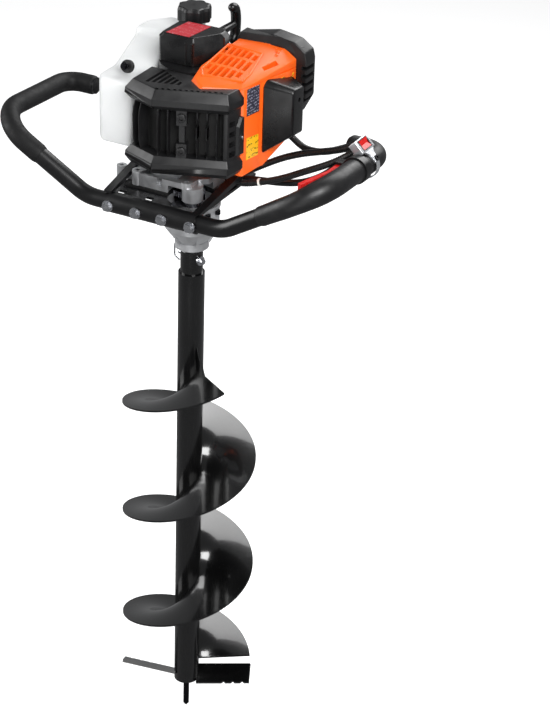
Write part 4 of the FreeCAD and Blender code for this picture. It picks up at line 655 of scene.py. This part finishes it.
def engineShroud():
    bm = bmesh.new()
    plan = [(-20, 34), (-2, 27), (58, 28), (62.7, 30), (66.3, 72), (84, 122), (84, 143), (-20, 143)]
    loft(bm, [[(x, y, z) for x, y in plan] for z in (925, 1055)])
    # faceted crown that laps over the guard's top
    skirt = [(10, -2, 1055.4), (-15, 18, 1055.4), (-21, 50, 1055.4), (-10, 104, 1055.4), (-8, 141, 1055.4),
             (84, 143, 1055.4), (84, 143, 1067), (75, 126, 1057), (66, 80, 1056), (62, 34, 1055.6),
             (58, 27, 1055.4)]
    crown = [(13, 2, 1059), (53, 36, 1061), (56, 56, 1065), (-11, 21, 1062), (-17, 50, 1067),
             (-7, 104, 1078),
             (-2, 141, 1084), (40, 142, 1084), (66, 142, 1080)]
    hull(bm, skirt + crown)
    shroud = newPiece("shroud_shell", bm, "mouldedAbsOrange", "powerhead", bevel=2.0,
                      segments=4,
                      sharp=12, replaces=("engine_shroud",))
    cutters = bmesh.new()
    # the underside rises to the back
    hull(cutters, [(x, y, z) for x in (-30, 95) for y, z in ((76, 920), (150, 920), (150, 973), (76, 924))])
    c = shroudSetup
    for number, start in enumerate(c["starts"]):
        x = c["slotLeft"] + number * c["slatPitch"]
        edges = [start] + [y for bar in c["bars"] for y in bar] + [c["end"] - 3 * max(0, number - 3)]
        for low, high in zip(edges[::2], edges[1::2]):
            prismHull(cutters, [(x, low), (x + c["slotWide"], low), (x + c["slotWide"], high), (x, high)],
                      1053, 1095)
    # handle slot on the right shoulder
    hull(cutters, [(x, y, z) for x, y in ((60, 84), (65, 83), (73, 111), (67, 112)) for z in (1050, 1095)])
    carve(shroud, cutters, sharp=20)
    # near-black deck that shows through the grille, painted shade
    deck = bmesh.new()
    hull(deck, [(-12, 30, 1053.5), (54, 36, 1053.5), (58, 112, 1053.5), (-6, 112, 1053.5),
                (-12, 30, 1056.5), (54, 36, 1056.5), (58, 112, 1066), (-6, 112, 1068)])
    newPiece("shroud_deck", deck, "paintedShadeBlack", "powerhead")


def shroudTrim():
    rim = bmesh.new()
    corners = [(-12, 42, 1066), (-2, 27, 1063), (54, 38, 1062), (55, 58, 1066), (46, 112, 1077.4),
               (-9, 114, 1079.4)]
    for start, end in zip(corners, corners[1:] + corners[:1]):
        rod(rim, start, end, 1.9, sides=12)
    newPiece("grille_rim", rim, "mouldedAbsOrange", "powerhead", sharp=60)
    bumps = bmesh.new()
    for x, y, z, radius in ((62, 128, 1078.4, 3.6), (56, 134, 1080.6, 2.4), (64, 121, 1076.6, 3.0),
                            (44, 136, 1083, 1.6)):
        bmesh.ops.create_uvsphere(bumps, u_segments=20, v_segments=12, radius=radius * mm,
                                  matrix=Matrix.Translation(mmPoint((x, y, z))) @ Matrix.Scale(0.5, 4,
                                                                                               (0, 0, 1)))
    newPiece("shroud_bumps", bumps, "mouldedAbsOrange", "powerhead")


def label(name, corners, material, out):
    # a thin plate on a face, with its UV in metres so that printing keeps its real size
    lift = Vector(out).normalized() * 0.35
    back = [Vector(c) for c in corners]
    bm = bmesh.new()
    loft(bm, [[tuple(c - lift) for c in back], [tuple(c + lift) for c in back]])
    layer = bm.loops.layers.uv.new("printing")
    origin = mmPoint(back[0])
    across = (mmPoint(back[1]) - origin).normalized()
    up = (mmPoint(back[3]) - origin).normalized()
    for face in bm.faces:
        for loop in face.loops:
            offset = loop.vert.co - origin
            loop[layer].uv = (offset.dot(across), offset.dot(up))
    newPiece(name, bm, material, "powerhead")


engineShroud()
shroudTrim()
label("rating_label", [(63.35, 37, 1013), (65.95, 68, 1011), (65.95, 68, 1051), (63.35, 37, 1053)],
      "darkLabel",
      (1, -0.086, 0))
label("warning_label", [(63.35, 38, 947), (65.95, 68, 945.5), (65.95, 68, 977), (63.35, 38, 980)],
      "yellowLabel",
      (1, -0.086, 0))
label("rear_warning_label", [(79.5, 107, 1028), (84.1, 121, 1028), (84.3, 136, 1050), (79.8, 107, 1050)],
      "yellowLabel", (0.96, -0.3, 0))
print("shroud ready")


# ---------- spark plug cover

def plugCover():
    bm = bmesh.new()
    loft(bm, [[(66.3, 76, 946), (66.3, 142, 942), (66.3, 142, 1046), (66.3, 84, 1052), (66.3, 76, 1044)],
              [(70, 75, 946), (70, 142, 942), (70, 142, 1048), (70, 83, 1054), (70, 75, 1046)],
              [(111.5, 84, 978), (111.5, 116, 974), (111.5, 116, 1041), (111.5, 90, 1045),
               (111.5, 84, 1041)]])
    cover = newPiece("plug_cap_shell", bm, "polishedNylonBlack", "powerhead", bevel=3.2,
                     segments=4, sharp=15, replaces=("plug_cover",))
    hole = bmesh.new()
    rod(hole, (104, 102, 1026), (116, 102, 1026), 3.4)
    carve(cover, hole)


plugCover()


# ---------- rear air-cleaner cover

def rearCover():
    bm = bmesh.new()
    front, back = 144, 177.5
    outline = [(-12, 1066), (0, 1086), (44, 1095.5), (80, 1090), (97, 1078), (100, 1066), (100, 1010),
               (85, 981), (12, 976.5), (-12, 990)]
    loft(bm, [[(x, front, z) for x, z in outline], [(x, back - 8, z) for x, z in outline],
              [(44 + (x - 44) * 0.86, back, 1035 + (z - 1035) * 0.86) for x, z in outline]])
    cover = newPiece("cleaner_cover", bm, "mouldedNylonBlack", "powerhead", bevel=2.2,
                     segments=3,
                     sharp=15, replaces=("rear_cover",))
    slots = bmesh.new()
    for number in range(5):
        z = 1004 + number * 12
        box(slots, (92, front - 2, z), (112, back - 12, z + 5.5))
    carve(cover, slots)
    shelf = bmesh.new()
    loft(shelf, [[(-8, 132, 1078), (60, 139, 1082), (92, 146, 1068), (95, 155, 1068), (-6, 155, 1078)],
                 [(-4, 137, 1092), (58, 143, 1096), (90, 148, 1084), (90, 155, 1084), (-2, 155, 1094)]])
    newPiece("cleaner_brow", shelf, "mouldedNylonBlack", "powerhead", bevel=1.6, sharp=15)


rearCover()


# ---------- recoil starter box, its label and the pull handle

def starterBox():
    bm = bmesh.new()
    plan = [(-95, 67), (-89, 60), (-46, 60), (-37, 62), (-10, 103), (-10, 118), (-18, 126), (-86, 126),
            (-95, 118)]
    middle = (-54, 92)
    loft(bm, [[(x, y, 1056) for x, y in plan], [(x, y, 1092) for x, y in plan],
              [(middle[0] + (x - middle[0]) * 0.88, middle[1] + (y - middle[1]) * 0.88, 1098) for x,
               y in plan]])
    newPiece("starter_shell", bm, "polishedNylonBlack", "powerhead", bevel=1.6, segments=3,
             sharp=15, replaces=("starter_housing",))
    rib = bmesh.new()
    box(rib, (-49, 58.6, 1058), (-46.5, 62, 1091))
    box(rib, (-40, 59.6, 1058), (-37.5, 64, 1091))
    newPiece("starter_ribs", rib, "polishedNylonBlack", "powerhead", bevel=0.6)
    label("starter_label", [(-83, 66, 1098.1), (-46, 66, 1098.1), (-40, 118, 1098.1), (-77, 118, 1098.1)],
          "redLabel", (0, 0, 1))
    collar = bmesh.new()
    rod(collar, (-31.5, 124, 1088), (-31.5, 135, 1088), 7, tip=6)
    newPiece("starter_collar", collar, "polishedNylonBlack", "powerhead", bevel=1)


def pullHandle():
    x, z = -31.5, 1088
    bm = bmesh.new()
    rod(bm, (x, 135.6, z), (x, 172, z), 6.2, tip=5.0)
    newPiece("pull_stem", bm, "polishedNylonBlack", "starter_handle", bevel=1,
             replaces=("starter_handle",))
    points = [(x, 163, z - 27), (x, 173, z - 22), (x, 175.5, z - 6), (x, 175.5, z + 12), (x, 170, z + 27),
              (x, 158, z + 26)]
    line, length = evenly(splineLine(points), 1.2 * mm)
    radii = []
    for k in range(len(line)):
        share = abs(2 * k / (len(line) - 1) - 1)
        radii.append(7.4 * mm * math.sqrt(max(0.001, 1 - share ** 8)))
    bar = sweep(line, radii, sides=24)
    newPiece("pull_bar", bar, "polishedNylonBlack", "starter_handle", sharp=60)


starterBox()
pullHandle()
print("starter ready")


# ---------- fuel tank and cap

def fuelTank():
    low, mid, high = 938, 1036, 1074
    bm = bmesh.new()
    prismHull(bm, [(-166, 20), (-154, 6), (-105, 6), (-101, 14), (-101, 110), (-166, 110)], low, mid)
    hull(bm, [(x, y, z) for x, y in ((-166, 60), (-101, 60)) for z in (low, mid)]
         + [(x, y, z) for x, y in ((-166, 128), (-101, 128)) for z in (low, high - 4)])
    prismHull(bm, [(-166, 118), (-101, 118), (-101, 182), (-142, 182), (-166, 150)], low, high)
    box(bm, (-110, 138, high - 40), (-64, 176, high))
    rod(bm, (-87, 153, high - 4), (-87, 153, 1100), 16.5, sides=48)
    tank = newPiece("tank_shell", bm, "polythene", "powerhead", replaces=("fuel_tank",))
    remesh = tank.modifiers.new("remesh", "REMESH")
    remesh.mode = "VOXEL"
    remesh.voxel_size = 2.6 * mm
    soften = tank.modifiers.new("soften", "SMOOTH")
    soften.factor = 0.5
    soften.iterations = 22
    graph = bpy.context.evaluated_depsgraph_get()
    tank.data = bpy.data.meshes.new_from_object(tank.evaluated_get(graph))
    tank.modifiers.clear()
    for polygon in tank.data.polygons:
        polygon.use_smooth = True


def fuelCap():
    bm = bmesh.new()
    lobes = {"count": 8, "radius": 23.6, "depth": 1.6}

    def ringAt(scale, z):
        ring = []
        for k in range(96):
            angle = 2 * math.pi * k / 96
            reach = (lobes["radius"] + lobes["depth"] * math.cos(lobes["count"] * angle)) * scale
            ring.append((-87 + reach * math.cos(angle), 153 + reach * math.sin(angle), z))
        return ring

    loft(bm, [ringAt(0.96, 1089), ringAt(1, 1090), ringAt(1, 1106), ringAt(0.95, 1110), ringAt(0.84, 1111),
              ringAt(0.8, 1109), ringAt(0.3, 1108.8), ringAt(0.28, 1110.6), ringAt(0.2, 1110.6)])
    newPiece("cap_knob", bm, "mouldedNylonBlack", "fuel_cap", sharp=35,
             replaces=("fuel_cap",))


def tankBracket():
    bm = bmesh.new()
    rod(bm, (-128, 40, 1046), (-128, 33, 1048.5), 9.5)
    newPiece("tank_grommet", bm, "blackRubber", "powerhead", bevel=1.2)
    pin = bmesh.new()
    rod(pin, (-128, 36, 1047.5), (-128, 24, 1051.7), 3.6, sides=20)
    rod(pin, (-128, 28, 1050.2), (-128, 26, 1051), 6, sides=20)
    newPiece("tank_stud", pin, "blackOxideSteel", "powerhead", bevel=0.5)


fuelTank()
fuelCap()
tankBracket()
print("tank ready")


# ---------- kill switch box on the right grip

switchSetup = {"grip": (230, 75.5, 966.6), "lean": 44, "aside": 22.4, "wide": 21, "long": 37, "high": 13,
               "bandRadius": 18.9, "bandWide": 9}


def switchBox():
    s = switchSetup
    turn = Quaternion((0, 1, 0), math.radians(s["lean"]))
    centre = Vector(s["grip"]) + turn @ Vector((-s["aside"], 0, 13.1))
    halfWide, halfLong, top = s["wide"] / 2, s["long"] / 2, s["high"] / 2

    def at(x, y, z):
        return tuple(centre + turn @ Vector((x, y, z)))

    def plate(bm, corners, low, high):
        loft(bm, [[at(x, y, low) for x, y in corners], [at(x, y, high) for x, y in corners]])

    body = bmesh.new()
    ring = [(-halfWide, -halfLong), (halfWide, -halfLong), (halfWide, halfLong), (-halfWide, halfLong)]
    plate(body, ring, -top, top)
    piece = newPiece("switch_box", body, "silverPaint", "powerhead", bevel=1.4,
                     replaces=("switch_housing",))
    pocket = bmesh.new()
    plate(pocket, [(x * 0.8, y * 0.72) for x, y in ring], -2, top + 2)
    carve(piece, pocket)
    bezel = bmesh.new()
    for x0, x1, y0, y1 in ((-8.4, -7.2, -13.3, 13.3), (7.2, 8.4, -13.3, 13.3), (-8.4, 8.4, -13.3, -11),
                           (-8.4, 8.4, 11, 13.3)):
        plate(bezel, [(x0, y0), (x1, y0), (x1, y1), (x0, y1)], -2, top + 0.5)
    plate(bezel, [(-8.2, -13), (8.2, -13), (8.2, 13), (-8.2, 13)], -2, -0.5)
    newPiece("switch_bezel", bezel, "polishedNylonBlack", "powerhead", bevel=0.3)
    strap = bmesh.new()
    plate(strap, [(9, -14), (16, -7), (30, -5), (30, 5), (16, 7), (9, 14)], top - 4, top - 0.4)
    newPiece("switch_strap", strap, "silverPaint", "powerhead", bevel=0.8)
    band = bmesh.new()
    place = Vector(s["grip"]) - Vector((0, s["bandWide"] / 2, 0))
    bmesh.ops.create_circle(band, cap_ends=False, segments=64, radius=s["bandRadius"] * mm,
                            matrix=Matrix.Translation(mmPoint(place)) @ Matrix.Rotation(math.radians(90),
                                                                                        4, "X"))
    grown = bmesh.ops.extrude_edge_only(band, edges=band.edges[:])
    moved = [g for g in grown["geom"] if isinstance(g, bmesh.types.BMVert)]
    bmesh.ops.translate(band, verts=moved, vec=mmPoint((0, s["bandWide"], -0.5)))
    bmesh.ops.solidify(band, geom=band.faces[:], thickness=1.6 * mm)
    newPiece("switch_band", band, "silverPaint", "powerhead", bevel=0.4)


switchBox()


# ---------- web at the top end of the flight

def flightWeb():
    bm = bmesh.new()
    turn = math.radians(-31)
    ahead = Vector((math.cos(turn), math.sin(turn), 0))
    side = Vector((-math.sin(turn), math.cos(turn), 0))
    corners = [ahead * 19.6 + Vector((0, 0, 660)), ahead * 19.4 + Vector((0, 0, 621)),
               ahead * 42 + Vector((0, 0, 621.4))]
    loft(bm, [[tuple(c - side * 1.5) for c in corners], [tuple(c + side * 1.5) for c in corners]])
    newPiece("flight_web", bm, "stovedEnamelGloss", "auger", bevel=0.5)


flightWeb()
print("switch and bit ready")


# ---------- finishes on the CAD nodes that stay

nodeFinishes = {
    "powderCoatBlack": ["front_sleeve", "handle_left", "handle_right", "base_plate", "side_rails",
                        "lever_bracket"],
    "stovedEnamelGloss": ["flight_1", "flight_2", "flight_3", "drive_tube", "collar", "flight_gussets",
                          "cutting_blades"],
    "blackOxideSteel": ["pilot_drill", "gearcase_screws", "clamp_screw"],
    "brightZincPlate": ["clevis_pin", "r_clip", "frame_bolts"],
    "machinedSteel": ["output_shaft", "output_gear", "idler_two", "idler_one", "clutch_drum", "crankshaft",
                      "connecting_rod", "clutch_shoe_front", "clutch_shoe_back"],
    "blastedAluminium": ["gearcase_lower", "gearcase_upper"],
    "rawCastAluminium": ["clutch_housing", "crankcase", "cylinder", "piston", "flywheel",
                         "carburettor"],
    "blackRubber": ["damper_pad"],
    "glazedCeramic": ["spark_plug"],
    "mouldedNylonBlack": ["fan_housing", "recoil_pulley", "choke_lever", "cap_insert"],
    "heatedExhaustSteel": ["muffler"],
    "redAcetal": ["throttle_lever", "kill_switch"],
}
for name, members in nodeFinishes.items():
    for node in members:
        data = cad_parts[node].data
        data.materials.clear()
        data.materials.append(materials[name])
print("CAD nodes painted")


# ---------- floor

floorSetup = {"half": 6, "drop": 0.002, "color": "#f0f0f0", "glow": 0.55}
floorMesh = bmesh.new()
bmesh.ops.create_grid(floorMesh, x_segments=1, y_segments=1, size=floorSetup["half"])
floorData = bpy.data.meshes.new("floor")
floorMesh.to_mesh(floorData)
floorMesh.free()
floor = bpy.data.objects.new("floor", floorData)
scene.collection.objects.link(floor)
floor.location.z = -floorSetup["drop"]
floorMaterial, _, floorShader = newMaterial("paleFloor")
floorShader.inputs["Base Color"].default_value = hexColor(floorSetup["color"])
floorShader.inputs["Roughness"].default_value = 0.9
floorShader.inputs["Emission Color"].default_value = hexColor("#ffffff")
floorShader.inputs["Emission Strength"].default_value = floorSetup["glow"]
floorData.materials.append(floorMaterial)
floor.visible_glossy = False
